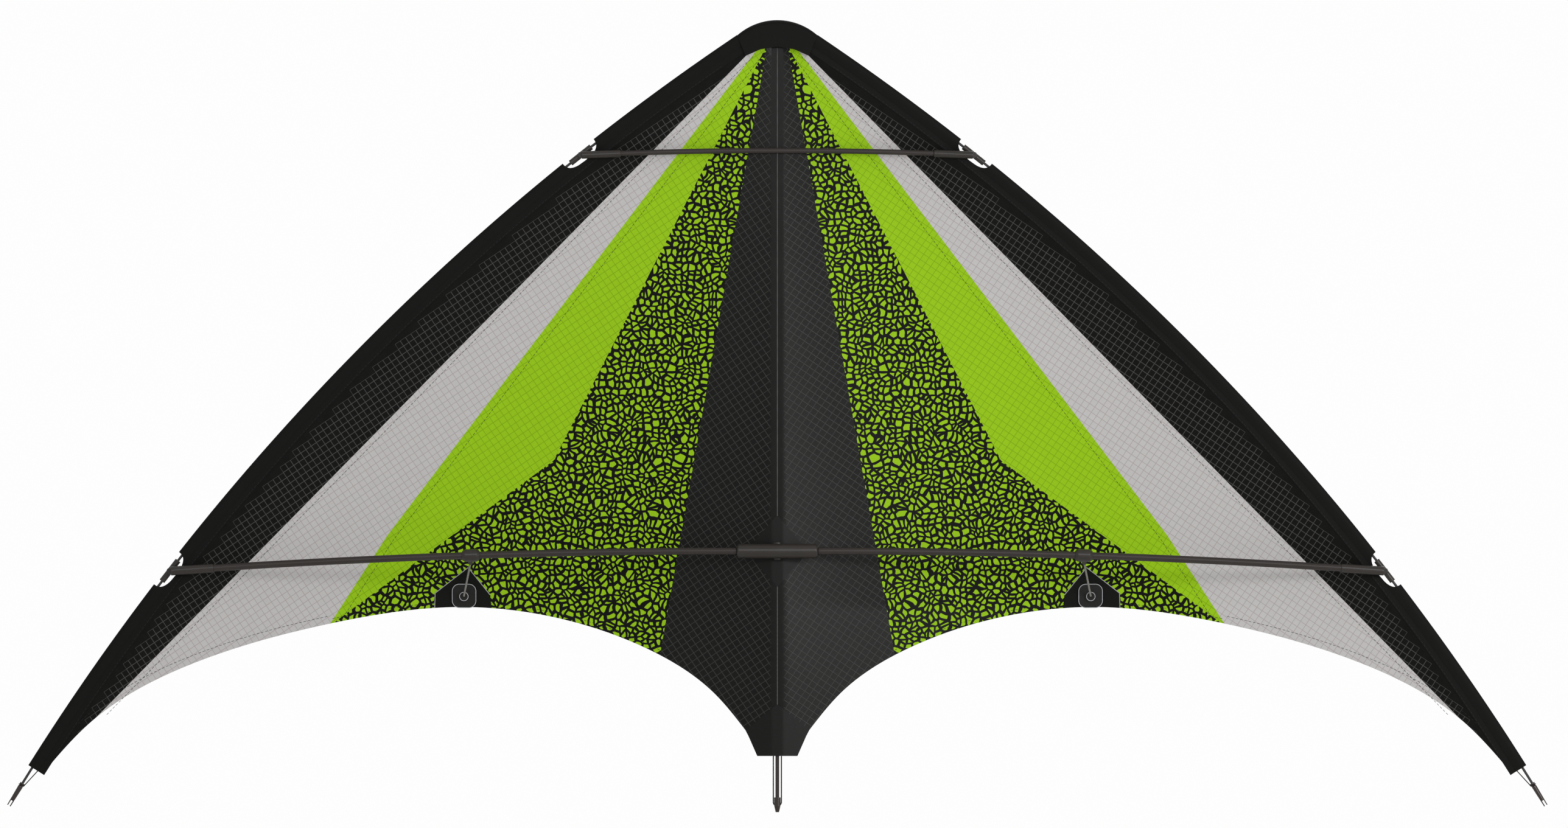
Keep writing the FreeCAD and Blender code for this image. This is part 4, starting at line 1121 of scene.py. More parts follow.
@dataclass
class Sail:
    """The sewn sail of both wings, with its patches, hems and stitching."""

    form: SailForm = FORM
    tuck: float = 0.0010
    tail: tuple[float, float] = (0.016, -0.163)
    patch_lift: float = 0.00045
    patch_cloth: float = 0.0004
    keel_patch_half: tuple[float, float] = (0.025, 0.028)
    keel_patch_blunt: float = 0.0006
    tail_patch_top: float = -0.1224
    tail_patch_hem: tuple[tuple[float, float], ...] = (
        (0.0008, -0.1224), (0.0247, -0.142), (0.0245, -0.1437))
    standoff_peak: tuple[float, float] = (0.2459, -0.0131)
    standoff_blunt: float = 0.0004
    standoff_shoulders: tuple[tuple[float, float], ...] = ((0.2283, -0.0349), (0.2721, -0.0334))
    standoff_foot: tuple[float, float] = (0.2273, 0.2724)
    bead_radius: float = 0.00028
    panels: tuple[Panel, ...] = (
        Panel("sail_print", "panel_print", "print_cloth", Seam.PRINT_KEEL, Seam.GREEN_PRINT,
              PRINT_SAIL, (0.223, 0.575, 0.0430), 60),
        Panel("sail_green", "panel_green", "green_cloth", Seam.GREEN_PRINT, Seam.GREY_GREEN,
              GREEN_SAIL, (0.070, 0.575, 0.0217), 24),
        Panel("sail_grey", "panel_grey", "grey_cloth", Seam.GREY_GREEN, Seam.BLACK_GREY,
              GREY_SAIL, (0.082, 0.760, 0.0290), 30),
        Panel("sail_black", "panel_black_edge", "black_cloth", Seam.BLACK_GREY, None,
              BLACK_WING, (0.046, 0.815, 0.0250), 20, 160),
    )

    def outer_border(self, panel: Panel) -> Array:
        """Give a panel's outer border down to the trailing edge.

        Args:
            panel: The panel.

        Returns:
            Corners or dense points (X, Z) from the sail's top to the trailing edge.
        """
        if panel.outer is None:
            inset = self.form.pocket - self.tuck
            foot = meeting(TRAILING, self.form.inset(TRAILING[:, 0], TRAILING[:, 1]) - inset)
            z = np.linspace(SAIL_TOP, foot[1], 400)
            return np.stack([self.form.reach(z, inset), z], axis=1)
        return self.to_trailing(panel.outer)

    def to_trailing(self, seam: Seam) -> Array:
        """Carry a seam on to the trailing edge.

        A point's distance from the seam's last run goes by the cross product of the run with
        the way to the point. The last corner moves to where that is nothing.

        Args:
            seam: The seam.

        Returns:
            Its corners (X, Z) from the sail's top to the trailing edge.
        """
        corners = seam.corners(SAIL_TOP)
        step = corners[-1] - corners[-2]
        away = TRAILING - corners[-2]
        gap = away[:, 0] * step[1] - away[:, 1] * step[0]
        near = np.abs(TRAILING[:, 0] - corners[-1, 0]) < 0.08
        corners[-1] = meeting(TRAILING[near], gap[near])
        return corners

    def panel_grid(self, panel: Panel) -> Array:
        """Fill a panel's borders with a grid in the sail's plane.

        Args:
            panel: The panel.

        Returns:
            The grid (X, Z), rows by columns by two.
        """
        left = spaced(self.to_trailing(panel.inner), panel.rows)
        right = spaced(self.outer_border(panel), panel.rows)
        top = np.linspace(left[0], right[0], panel.columns)
        bottom = trailing_between(left[-1, 0], right[-1, 0], panel.columns)
        bottom[0], bottom[-1] = left[-1], right[-1]
        return filled(left, right, top, bottom)

    def keel_grid(self) -> Array:
        """Fill the keel half between the centre line, the print's seam and the tail.

        Returns:
            The grid (X, Z), rows by columns by two.
        """
        left = spaced(Seam.CENTRE.corners(SAIL_TOP), 150)
        right = spaced(self.to_trailing(Seam.PRINT_KEEL), 150)
        top = np.linspace(left[0], right[0], 36)
        hem = trailing_between(TRAILING_KNOTS[0, 0], right[-1, 0], 200)
        bottom = spaced(np.vstack([left[-1], self.tail, hem]), 36)
        return filled(left, right, top, bottom)

    def sheet(self, flat: Array, side: Side, name: str, finish: Finish,
              lift: float = 0.0, thick: float = 0.0006) -> bpy.types.Object:
        """Make a cloth piece that lies along the sail.

        Its front face is the sail's front moved towards the flyer by lift, and its back lies
        behind it by the cloth's thickness.

        Args:
            flat: The piece's grid (X, Z) on the right wing.
            side: The wing.
            name: The piece's name.
            finish: The cloth.
            lift: How far the front face stands before the sail's.
            thick: The thickness.

        Returns:
            The piece.
        """
        front = self.form.on_sail(flat, lift)
        back = self.form.on_sail(flat, lift - thick)
        draft = Draft()
        draft.cloth(side.place(front), side.place(back), flat)
        return draft.piece(name, finish)

    def make_panels(self, side: Side) -> None:
        """Cut and place the four outer panels of one wing.

        Args:
            side: The wing.
        """
        for panel in self.panels:
            made = self.sheet(self.panel_grid(panel), side, f"{panel.name}_{side.label}",
                              panel.finish)
            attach(made, side.wing)
            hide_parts(f"{panel.node}_{side.label}")
            f"leading_edge_pocket_{side.label}"

    def fold(self, made: bpy.types.Object, side: Side) -> None:
        """Bake a cloth piece's placement into its mesh.

        Args:
            made: The piece.
            side: The wing.
        """
        side.wing
        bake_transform(made)

    def make_keel(self, side: Side) -> None:
        """Make the black half panel beside the spine, which turns along the fold line.

        Args:
            side: The wing.
        """
        made = self.sheet(self.keel_grid(), side, f"sail_keel_{side.label}", BLACK_SAIL)
        self.fold(made, side)
        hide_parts(f"panel_keel_{side.label}")

    def keel_patch(self) -> Array:
        """Fill the right half of the keel patch, a rhombus with blunt ends.

        Returns:
            The grid (X, Z), rows by columns by two.
        """
        (wide, tall), blunt = self.keel_patch_half, self.keel_patch_blunt
        top = np.linspace([0.0, tall], [blunt, tall], 12)
        return filled(spaced(np.array([[0.0, tall], [0.0, -tall]]), 41),
                      spaced(np.array([[blunt, tall], [wide, 0.0], [blunt, -tall]]), 41),
                      top, top * [1.0, -1.0])

    def tail_patch(self) -> Array:
        """Fill the right half of the tail patch, between the centre line and the tail's hem.

        Returns:
            The grid (X, Z), rows by columns by two.
        """
        top, foot = self.tail_patch_top, self.tail[1]
        outer = np.array([*self.tail_patch_hem, self.tail])
        return filled(spaced(np.array([[0.0, top], [0.0, foot]]), 33), spaced(outer, 33),
                      np.linspace([0.0, top], outer[0], 18),
                      np.linspace([0.0, foot], outer[-1], 18))

    def make_spine_patches(self, side: Side) -> None:
        """Sew on the halves of the keel patch and the tail patch.

        Args:
            side: The wing.
        """
        for node, grid, cut in (("keel_patch", self.keel_patch(), (0.026, 0.057, 0.00077)),
                                ("tail_patch", self.tail_patch(), (0.025, 0.042, 0.00073))):
            made = self.sheet(grid, side, f"{node}_{side.label}", KEEL_PATCH_CLOTH,
                              self.patch_lift, self.patch_cloth)
            self.fold(made, side)
            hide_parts(node)

    def make_standoff_patch(self, side: Side) -> None:
        """Sew on the patch under a standoff, with a pale thread round its upper edge.

        Args:
            side: The wing.
        """
        peak, blunt = np.array(self.standoff_peak), np.array([self.standoff_blunt, 0.0])
        first, last = self.standoff_foot
        foot = trailing_between(first, last, 24)
        left = np.vstack([peak - blunt, self.standoff_shoulders[0], foot[0]])
        right = np.vstack([peak + blunt, self.standoff_shoulders[1], foot[-1]])
        top = np.linspace(left[0], right[0], 24)
        grid = filled(spaced(left, 30), spaced(right, 30), top, foot)
        made = self.sheet(grid, side, f"standoff_patch_{side.label}_cloth", PATCH_CLOTH,
                          self.patch_lift, self.patch_cloth)
        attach(made, side.wing)
        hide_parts(f"standoff_patch_{side.label}")
        f"panel_print_{side.label}"
        border = spaced(np.vstack([left[1], peak, right[1], right[2]]), 60)
        self.bead(self.form.on_sail(border, self.patch_lift), side,
                  f"standoff_patch_{side.label}_edge")

    def bead(self, path: Array, side: Side, name: str, closed: bool = False) -> None:
        """Lay a thin round pale line along a path on the sail: the standoff patch's edge thread,
        and the painted highlight round the standoff socket's plate and cup.

        Args:
            path: The path's points on the right wing, as rows.
            side: The wing.
            name: The piece's name.
            closed: Whether the path joins its own start.
        """
        rings, surface = cord(path, self.bead_radius, 8, self.form.ahead, closed)
        draft = Draft()
        draft.tube(side.place(rings), surface, closed)
        # The pale colour is real thread on the patch edge and painted highlight on the socket's
        # rims.
        made = draft.piece(name, PALE_THREAD_AND_HIGHLIGHT)
        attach(made, side.wing)

    def make(self) -> None:
        """Make every cloth piece of both wings."""
        for side in Side:
            self.make_panels(side)
            self.make_keel(side)
            self.make_spine_patches(side)
            self.make_standoff_patch(side)


@dataclass
class Stitching:
    """Rows of lockstitch: short raised dashes of thread on both faces of the cloth."""

    form: SailForm = FORM
    pitch: float = 0.0034
    length: float = 0.0024
    width: float = 0.00018
    height: float = 0.00016
    black_grey_step: float = 0.0045
    grey_green_step: float = 0.006
    outer_hem: tuple[float, float] = (0.3575, 0.570)
    outer_hem_step: float = 0.006
    inner_hem: tuple[float, float] = (0.096, 0.352)
    inner_hem_step: float = 0.0035
    pocket_row: tuple[float, float] = (0.385, -0.160)
    pocket_inset: float = 0.0136
    pocket_lift: float = 0.0003

    def dashes(self, line: Array, face: float) -> Array:
        """Lay dashes along a line.

        A dash is a six-sided ring at four places along it, drawn in at its ends. A ring's point
        is the dash's middle, plus the way along, plus its cosine times the width across, and
        its sine times the height lifts it off the cloth.

        Args:
            line: Dense points (X, Z) of the row.
            face: How far the cloth's face lies behind the sail's front.

        Returns:
            Points: dashes by rings by sides by three.
        """
        total = float(np.linalg.norm(np.diff(line, axis=0), axis=1).sum())
        middle = even(line, max(3, int(total / self.pitch)))
        ahead = unit(np.gradient(middle, axis=0))
        across = np.stack([-ahead[:, 1], ahead[:, 0]], axis=1)
        along = np.array([-0.5, -0.3, 0.3, 0.5]) * self.length
        girth = np.array([0.4, 1.0, 1.0, 0.4])
        t = np.linspace(0.0, 2 * math.pi, 6, endpoint=False)
        flat = (middle[:, None, None] + ahead[:, None, None] * along[None, :, None, None]
                + across[:, None, None] * (girth[:, None] * np.cos(t))[None, :, :, None]
                * self.width)
        lift = (girth[:, None] * np.sin(t))[None] * self.height + face
        x, z = flat[..., 0], flat[..., 1]
        return np.stack([x, self.form.front(x, z) + lift, z], axis=-1)

    def sew(self, rows: list[Array], side: Side, name: str, finish: Finish,
            lift: float) -> None:
        """Sew several rows as one piece.

        Args:
            rows: Dense points (X, Z) of each row.
            side: The wing.
            name: The piece's name.
            finish: The thread.
            lift: How far the cloth's front stands before the sail's.
        """
        draft = Draft()
        for row in rows:
            for face in (-lift, self.form.cloth):
                dashes = side.place(self.dashes(row, face))
                count, rings, sides = dashes.shape[:3]
                quads = grid_quads(rings, sides, False, True)
                offset = np.arange(count)[:, None, None] * (rings * sides)
                cap = np.arange(sides)
                ends = [*(cap + offset[:, 0]), *(cap[::-1] + (rings - 1) * sides + offset[:, 0])]
                points = dashes.reshape(-1, 3)
                draft.add(points, (quads[None] + offset).reshape(-1, 4), ends, points[:, [0, 2]])
        made = draft.piece(name, finish)
        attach(made, side.wing)

    def beside(self, line: Array, distance: float) -> Array:
        """Move a line sideways in the sail's plane, square to its own run."""
        ahead = unit(np.gradient(line, axis=0))
        return line + np.stack([ahead[:, 1], -ahead[:, 0]], axis=1) * distance

    def make(self, sail: Sail) -> None:
        """Sew the seams, the hems and the pocket rows of both wings.

        Args:
            sail: The sail, for the run of its seams.
        """
        black_grey = even(sail.to_trailing(Seam.BLACK_GREY), 400)
        grey_green = spaced(sail.to_trailing(Seam.GREY_GREEN), 400)
        inside = slice(6, -5)
        rows = [self.beside(black_grey, self.black_grey_step)[inside],
                self.beside(grey_green, self.grey_green_step)[inside],
                self.beside(trailing_between(*self.outer_hem, 300), -self.outer_hem_step),
                self.beside(trailing_between(*self.inner_hem, 300), -self.inner_hem_step)]
        z = np.linspace(*self.pocket_row, 500)
        pocket = np.stack([self.form.reach(z, self.pocket_inset), z], axis=1)
        for side in Side:
            self.sew(rows, side, f"seam_thread_{side.label}", DARK_THREAD, 0.0)
            self.sew([pocket], side, f"pocket_thread_{side.label}", FAINT_THREAD,
                     self.pocket_lift)


# ------------------------------------------------------------------ leading edge


@dataclass
class LeadingEdge:
    """The pocket with its two windows, the bent rod in it, and its threads."""

    form: SailForm = FORM
    rod_radius: float = 0.001
    rod_nose: float = 0.010
    crown: float = 0.00165
    crown_fall: float = 0.0076
    wall: float = 0.0003
    width: float = 0.0146
    flat_half: float = 0.00062
    window_depth: float = 0.0090
    window_curve: float = 2.6
    windows: tuple[tuple[float, float], ...] = (
        (FORM.upper_level, 0.0315), (FORM.lower_level, 0.0325))
    course: float = 0.006

    def half_height(self, inset: Array) -> Array:
        """Give half the pocket's height.

        It is an ellipse up to the rod's middle, then eases by 3 share squared less 2 share
        cubed from the crown down to the sewn edge.

        Args:
            inset: The distance inside the outline.

        Returns:
            The half height.
        """
        middle = self.form.rod_inset
        nose = self.crown * np.sqrt(np.clip(1 - ((middle - inset) / middle) ** 2, 0, 1))
        share = np.clip((inset - middle) / self.crown_fall, 0, 1)
        ease = share * share * (3 - 2 * share)
        back = self.crown + (self.flat_half - self.crown) * ease
        return np.where(inset < middle, nose, back)

    def loop(self, outer: float, inner: float, count: int) -> tuple[Array, Array]:
        """Give one face of the pocket between two insets, the nose end drawn finely.

        Args:
            outer: The inset nearer the outline.
            inner: The inset further in.
            count: Points to a run.

        Returns:
            The insets, and the half height at each.
        """
        if outer > 0:
            inset = np.linspace(outer, inner, count)
        else:
            turn = np.linspace(0.0, math.pi / 2, count)
            tight = self.form.rod_inset * (1 - np.cos(turn))
            inset = np.concatenate([tight, np.linspace(self.form.rod_inset, inner, count)[1:]])
        return inset, self.half_height(inset)

    def walls(self, angle: Array, inset: Array, height: Array) -> tuple[Array, Array]:
        """Give the outer and inner faces of a cloth wall.

        The inner face is the profile moved inwards, square to its own run, by the wall.

        Args:
            angle: The arc angles, rows by profile points.
            inset: The profile's insets.
            height: The profile's heights ahead of the wing's plane.

        Returns:
            The outer and the inner grid.
        """
        run = unit(np.stack([np.gradient(inset), np.gradient(height)], axis=-1))
        outer = self.form.edge(angle, inset[None], height[None])
        drawn = self.form.edge(angle, (inset - run[:, 1] * self.wall)[None],
                               (height + run[:, 0] * self.wall)[None])
        return outer, drawn

    def pocket(self, side: Side) -> None:
        """Make the pocket: round lengths over the rod, and flat strips that run right through.

        A window is a rounded opening: at the inset i its half length is the window's half
        length times (1 - (i / depth)^n)^(1 / n). The round lengths end along that curve.

        Args:
            side: The wing.
        """
        form, radius = self.form, self.form.arc_radius
        draft = Draft()
        inset, half = self.loop(0.0, self.window_depth, 17)
        inset = np.concatenate([inset[::-1], inset[1:]])
        height = np.concatenate([-half[::-1], half[1:]])
        share = np.clip(inset / self.window_depth, 0.0, 1.0)
        opening = (1 - share**self.window_curve) ** (1 / self.window_curve) / radius / 2
        plain = 0.0 * opening
        stops = [(form.nose_angle, plain)]
        for level, length in self.windows:
            middle = form.angle_at(level, form.rod_inset)
            stops += [(middle, opening * length), (middle, -opening * length)]
        stops.append((form.tip_angle, plain))
        for (high, rise), (low, fall) in zip(stops[::2], stops[1::2]):
            top, bottom = high + rise, low + fall
            courses = max(12, int((high - low) * radius / self.course))
            share = np.linspace(0.0, 1.0, courses)[:, None]
            angle = top[None] * (1 - share) + bottom[None] * share
            outer, inner = self.walls(angle, inset, height)
            surface = np.stack([np.broadcast_to(np.cumsum(np.hypot(
                np.gradient(inset), np.gradient(height))), angle.shape), angle * radius], axis=-1)
            draft.cloth(side.place(outer), side.place(inner), surface)
        for sign in (1.0, -1.0):
            inset, half = self.loop(self.window_depth, self.width, 9)
            angle = np.broadcast_to(np.linspace(form.nose_angle, form.tip_angle, 110)[:, None],
                                    (110, len(inset)))
            outer = form.edge(angle, inset[None], sign * half[None])
            inner = form.edge(angle, inset[None], sign * (half - self.wall)[None])
            surface = np.stack([np.broadcast_to(inset, angle.shape), angle * radius], axis=-1)
            draft.cloth(side.place(outer), side.place(inner), surface)
        made = draft.piece(f"edge_pocket_{side.label}", POCKET_CLOTH)
        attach(made, side.wing)
        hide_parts(f"leading_edge_pocket_{side.label}")
        f"leading_edge_rod_{side.label}"

    def rod(self, side: Side) -> None:
        """Bend the rod to the leading edge's arc.

        Args:
            side: The wing.
        """
        form = self.form
        angle = np.linspace(form.nose_angle + self.rod_nose / form.arc_radius,
                            form.tip_angle - form.rod_tip / form.arc_radius, 160)
        path = form.edge(angle, form.rod_inset, 0.0)
        rings, surface = cord(path, self.rod_radius, 16, form.ahead)
        draft = Draft()
        draft.tube(side.place(rings), surface)
        made = draft.piece(f"edge_rod_{side.label}", EDGE_ROD)
        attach(made, side.wing)
        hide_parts(f"leading_edge_rod_{side.label}")

    def make(self) -> None:
        """Make both leading edges."""
        for side in Side:
            self.pocket(side)
            self.rod(side)


# ------------------------------------------------------------------ spine and nose


@dataclass
class Spine:
    """The spine rod, its cloth sleeve, the centre seam and the nose patch."""

    form: SailForm = FORM
    axis_y: float = 0.00925
    radius: float = 0.0015
    top: float = 0.410
    bottom: float = -0.1994
    hood_top: float = 0.4225
    hood_corner: tuple[float, float] = (0.0319, 0.4104)
    hood_foot: tuple[float, float] = (0.0252, 0.3940)
    hood_arch: tuple[tuple[float, float], ...] = ((0.0, 0.4014), (0.0136, 0.3992))
    hood_front: float = 0.0001
    hood_back: float = 0.0124
    hood_fold: float = 0.0034
    hood_slope: float = 0.0006
    hood_end: float = 0.0056
    hood_cloth: float = 0.0004
    hood_back_map: float = 0.85
    chamfer: float = 0.0004
    sleeves: tuple[tuple[str, str, float, float], ...] = (
        ("spine_sleeve_top", "spine_sleeve_upper", 0.0082, 0.4006),
        ("spine_sleeve_foot", "spine_sleeve_lower", -0.163, -0.0082))
    sleeve_half: float = 0.0041
    sleeve_crown: float = 0.0013
    sleeve_fall: float = 0.0026
    sleeve_rise: float = 0.0036
    sleeve_cloth: float = 0.0003
    sleeve_gap: float = 0.0001
    sleeve_unfolded: float = 0.0125
    welts: tuple[tuple[float, float], ...] = ((0.4005, 0.0275), (-0.0275, -0.1222))
    welt_radius: float = 0.00042
    welt_sunk: float = 0.00005
    welt_stitch: float = 0.0034

    def rod(self) -> None:
        """Turn the spine rod, with a small chamfer at both ends."""
        length = self.top - self.bottom
        profile = np.array([(0, 0.8), (self.chamfer, 1.0), (length - self.chamfer, 1.0),
                            (length, 0.8)])
        profile[:, 1] *= self.radius
        rings, surface = turned(np.array([0, self.axis_y, self.bottom]), UP, profile, 24)
        draft = Draft()
        draft.tube(rings, surface)
        made = draft.piece("spine", ROD)
        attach(made, "spine")
        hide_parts("spine_rod")

    def sleeve(self) -> None:
        """Lay the sleeve over the spine, behind the sail.

        Across the strip, Y is the keel's back plus a bump that is full over the rod and eases
        down to the two sewn edges.
        """
        x = np.linspace(-self.sleeve_half, self.sleeve_half, 41)
        share = np.clip((np.abs(x) - self.sleeve_crown) / self.sleeve_fall, 0, 1)
        bump = 1 - share * share * (3 - 2 * share)
        y = self.form.keel_front + self.form.cloth + self.sleeve_gap + self.sleeve_rise * bump
        for name, node, low, high in self.sleeves:
            z = np.linspace(high, low, 90)
            outer = np.stack(np.broadcast_arrays(x[None], y[None] + self.sleeve_cloth,
                                                 z[:, None]), axis=-1)
            inner = np.stack(np.broadcast_arrays(x[None], y[None], z[:, None]), axis=-1)
            surface = np.stack(np.broadcast_arrays(x[None], z[:, None]), axis=-1)
            draft = Draft()
            draft.cloth(outer, inner, surface)
            made = draft.piece(name, POCKET_CLOTH)
            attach(made, "spine")
            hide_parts(node)

    def seam(self) -> None:
        """Lay the welt of the centre seam, above and below the centre fitting's patch.

        Its radius swells and shrinks by the sine of once round to a stitch.
        """
        draft = Draft()
        front = self.form.keel_front - self.welt_sunk
        for high, low in self.welts:
            z = np.linspace(high, low, 140)
            path = np.stack([0 * z, 0 * z + front, z], axis=1)
            puff = self.welt_radius + self.welt_sunk * np.sin(z * 2 * math.pi / self.welt_stitch)
            rings, surface = carried(path, puff, puff * 0.8, 10, BACK)
            draft.tube(rings, surface)
        made = draft.piece("centre_seam", SPINE_THREAD)
        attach(made, "spine")

    def hood(self, side: Side) -> None:
        """Fold the nose patch over the nose.

        The half patch is filled in the sail's plane between the centre line, its outer end,
        the dome and the lower edge. Its front face is carried up to the dome and over to the
        back face: at the distance d below the dome, the two faces stand apart by the depth
        times the root of 1 - (1 - d / fold) squared.

        Args:
            side: The wing.
        """
        rows, columns = 22, 30
        corner, foot = np.array(self.hood_corner), np.array(self.hood_foot)
        rise = self.hood_top - corner[1]
        radius = (corner[0] ** 2 + rise**2) / (2 * rise)
        turn = np.linspace(0.0, math.asin(corner[0] / radius), columns)
        dome = np.stack([radius * np.sin(turn),
                         self.hood_top - radius * (1 - np.cos(turn))], axis=1)
        arch = spaced(np.vstack([self.hood_arch, foot]), columns)
        down = (1 - np.cos(np.linspace(0, math.pi / 2, rows)))[:, None]
        left = dome[0] * (1 - down) + arch[0] * down
        right = dome[-1] * (1 - down) + arch[-1] * down
        v = down[:, :, None]
        flat = dome[None] * (1 - v) + arch[None] * v
        flat[:, 0], flat[:, -1] = left, right
        drop = dome[None, :, 1] - flat[..., 1]
        open_ = np.sqrt(1 - (1 - np.clip(drop / self.hood_fold, 0, 1)) ** 2)
        taper = (flat[..., 0] / corner[0]) ** 2
        front = self.hood_front + self.hood_slope * taper
        back = self.hood_back * (1 - taper) + self.hood_end * taper
        middle, depth = (front + back) / 2, (back - front) / 2
        near = np.stack([flat[..., 0], middle - depth * open_, flat[..., 1]], axis=-1)
        far = np.stack([flat[..., 0], middle + depth * open_, flat[..., 1]], axis=-1)
        outer = np.concatenate([near[::-1], far[1:]])
        down_run = unit(np.gradient(outer, axis=0))
        across = unit(np.gradient(outer, axis=1))
        inward = np.cross(down_run, across)
        centre = np.stack([flat[..., 0], middle, flat[..., 1] - 0.004], axis=-1)
        centre = np.concatenate([centre[::-1], centre[1:]])
        facing = np.sign(np.einsum("ijk,ijk->ij", inward, centre - outer).sum())
        inner = outer + inward * facing * self.hood_cloth
        inner[:, 0, 0] = 0.0
        surface = np.concatenate([flat[::-1],
                                  flat[1:] * [1.0, -1.0] + [0.0, self.hood_back_map]])
        draft = Draft()
        draft.cloth(side.place(outer), side.place(inner), surface)
        made = draft.piece(f"nose_patch_{side.label}", PATCH_CLOTH, 50.0)
        side.wing
        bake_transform(made)
        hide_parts("nose_patch")

    def make(self) -> None:
        """Make the spine, its cloth and the nose patch."""
        self.rod()
        self.sleeve()
        self.seam()
        for side in Side:
            self.hood(side)


# ------------------------------------------------------------------ rods and fittings


@dataclass
class Spreaders:
    """The two lower spreaders and the upper spreader."""

    form: SailForm = FORM
    floor_back: float = 0.003
    lower_radius: float = 0.0028
    lower_ahead: float = 0.0056
    lower_start: float = 0.0324
    lower_bow: float = 0.004
    upper_radius: float = 0.0021
    upper_ahead: float = 0.005
    upper_bow: float = 0.0035
    upper_gap: float = 0.0004
    soft_end: float = 0.15

    def floor(self, height: float, ahead: float) -> Array:
        """Give the middle of a connector's closed end.

        Args:
            height: Z of the connector.
            ahead: How far it stands ahead of the leading edge rod.

        Returns:
            The point on the right wing.
        """
        inset = self.form.rod_inset
        angle = self.form.angle_at(height, inset)
        return self.form.edge(np.float64(angle), inset, ahead) - self.form.out * self.floor_back

    def rod(self, path: Array, radius: float, name: str, body: str, node: str) -> None:
        """Carry a round section along a path as a rod with softened ends.

        Args:
            path: The path's points, as rows.
            radius: The rod's radius.
            name: The piece's name.
            body: The body it rides on.
            node: The node it replaces.
        """
        girth = np.full(len(path), radius)
        girth[[0, -1]] *= 0.95
        rings, surface = carried(path, girth, girth, 28, BACK)
        draft = Draft()
        draft.tube(rings, surface)
        made = draft.piece(name, ROD)
        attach(made, body)
        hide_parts(node)

    def lower(self) -> Array:
        """Bow the right lower spreader upwards from the centre fitting to its connector.

        Returns:
            Its points, as rows, with one more close to each end for the soft end.
        """
        end = self.floor(self.form.lower_level, self.lower_ahead)
        start = unit(end * [1.0, 1.0, 0.0]) * self.lower_start
        chord = unit(end - start)
        rise = unit(UP - chord * chord[2])
        path = arc_points(start, end, rise * self.lower_bow, 200)
        return np.vstack([path[0], path[0] + (path[1] - path[0]) * self.soft_end, path[1:-1],
                          path[-1] - (path[-1] - path[-2]) * self.soft_end, path[-1]])

    def upper(self) -> Array:
        """Bow the upper spreader round the front of the keel, and cut it to its length.

        Returns:
            Its points, as rows, from left to right.
        """
        end = self.floor(self.form.upper_level, self.upper_ahead)
        clear = self.form.keel_front - self.upper_gap - self.upper_radius
        bow = np.array([0, clear - end[1], self.upper_bow])
        path = arc_points(end * [-1, 1, 1], end, bow, 4000)
        low_x, high_x = (v[0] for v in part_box("upper_spreader"))
        return even(path[(path[:, 0] > low_x) & (path[:, 0] < high_x)], 240)

    def make(self) -> None:
        """Make the three spreaders, and the band between the lower ones."""
        lower = self.lower()
        CrossBand().make(lower)
        for side in Side:
            self.rod(side.place(lower), self.lower_radius, f"lower_rod_{side.label}",
                     f"lower_spreader_{side.label}", f"lower_spreader_{side.label}")
        self.rod(self.upper(), self.upper_radius, "upper_rod", "upper_spreader",
                 "upper_spreader")


@dataclass(frozen=True)
class Fitting:
    """A moulded fitting: a node's own shape, with its edges eased as a mould leaves them."""

    node: str
    body: str
    finish: Finish
    voxel: float
    rounds: int = 4
    weld: float = 1e-6

    def make(self) -> None:
        """Copy the node's mesh, join its corners, and ease its edges."""
        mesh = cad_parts[self.node].data.copy()
        mesh.name = f"{self.node}_moulded"
        obj = bpy.data.objects.new(mesh.name, mesh)
        bpy.context.scene.collection.objects.link(obj)
        join = obj.modifiers.new("join", "WELD")
        join.merge_threshold = self.weld
        cells = obj.modifiers.new("mould", "REMESH")
        cells.mode = "VOXEL"
        cells.voxel_size = self.voxel
        cells.use_smooth_shade = True
        ease = obj.modifiers.new("ease", "SMOOTH")
        ease.factor = 0.5
        ease.iterations = self.rounds
        mesh.materials.clear()
        mesh.materials.append(self.finish.material())
        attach(obj, self.body)
        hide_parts(self.node)
        LOG.info("%s: moulded at %.2f mm", self.node, self.voxel / MM)


@dataclass
class TipElastic:
    """The elastic at a wing tip, looped round the nock's groove."""

    form: SailForm = FORM
    radius: float = 0.0004
    nock_grip: float = 0.01092
    groove: float = 0.0019
    groove_radius: float = 0.0016
    start_inset: float = 0.00868
    start_turn: float = 0.0006

    def make(self, side: Side) -> None:
        """Lay the strand from the pocket to the groove, and the loop round it.

        The loop is a circle square to the nock's axis, whose radius is the groove's plus the
        elastic's.

        Args:
            side: The wing.
        """
        form = self.form
        angle = np.float64(form.tip_angle - form.rod_tip / form.arc_radius)
        radial = math.cos(angle) * form.out + math.sin(angle) * UP
        along = math.sin(angle) * form.out - math.cos(angle) * UP
        middle = form.edge(angle, form.rod_inset, 0.0) - along * (self.nock_grip - self.groove)
        reach = self.groove_radius + self.radius
        start = form.edge(np.float64(form.tip_angle + self.start_turn), self.start_inset, 0.0)
        share = np.linspace(0.0, 1.0, 24)[:, None]
        strand = start * (1 - share) + (middle - radial * reach) * share
        turn = np.linspace(0.0, 2 * math.pi, 40, endpoint=False)[:, None]
        loop = middle + reach * (np.cos(turn) * radial + np.sin(turn) * form.ahead)
        draft = Draft()
        rings, surface = cord(strand, self.radius, 12, form.ahead)
        draft.tube(side.place(rings), surface)
        rings, surface = cord(loop, self.radius, 10, along, True)
        draft.tube(side.place(rings), surface, True)
        made = draft.piece(f"tip_elastic_{side.label}_cord", LINE)
        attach(made, side.wing)
        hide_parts(f"tip_elastic_{side.label}")


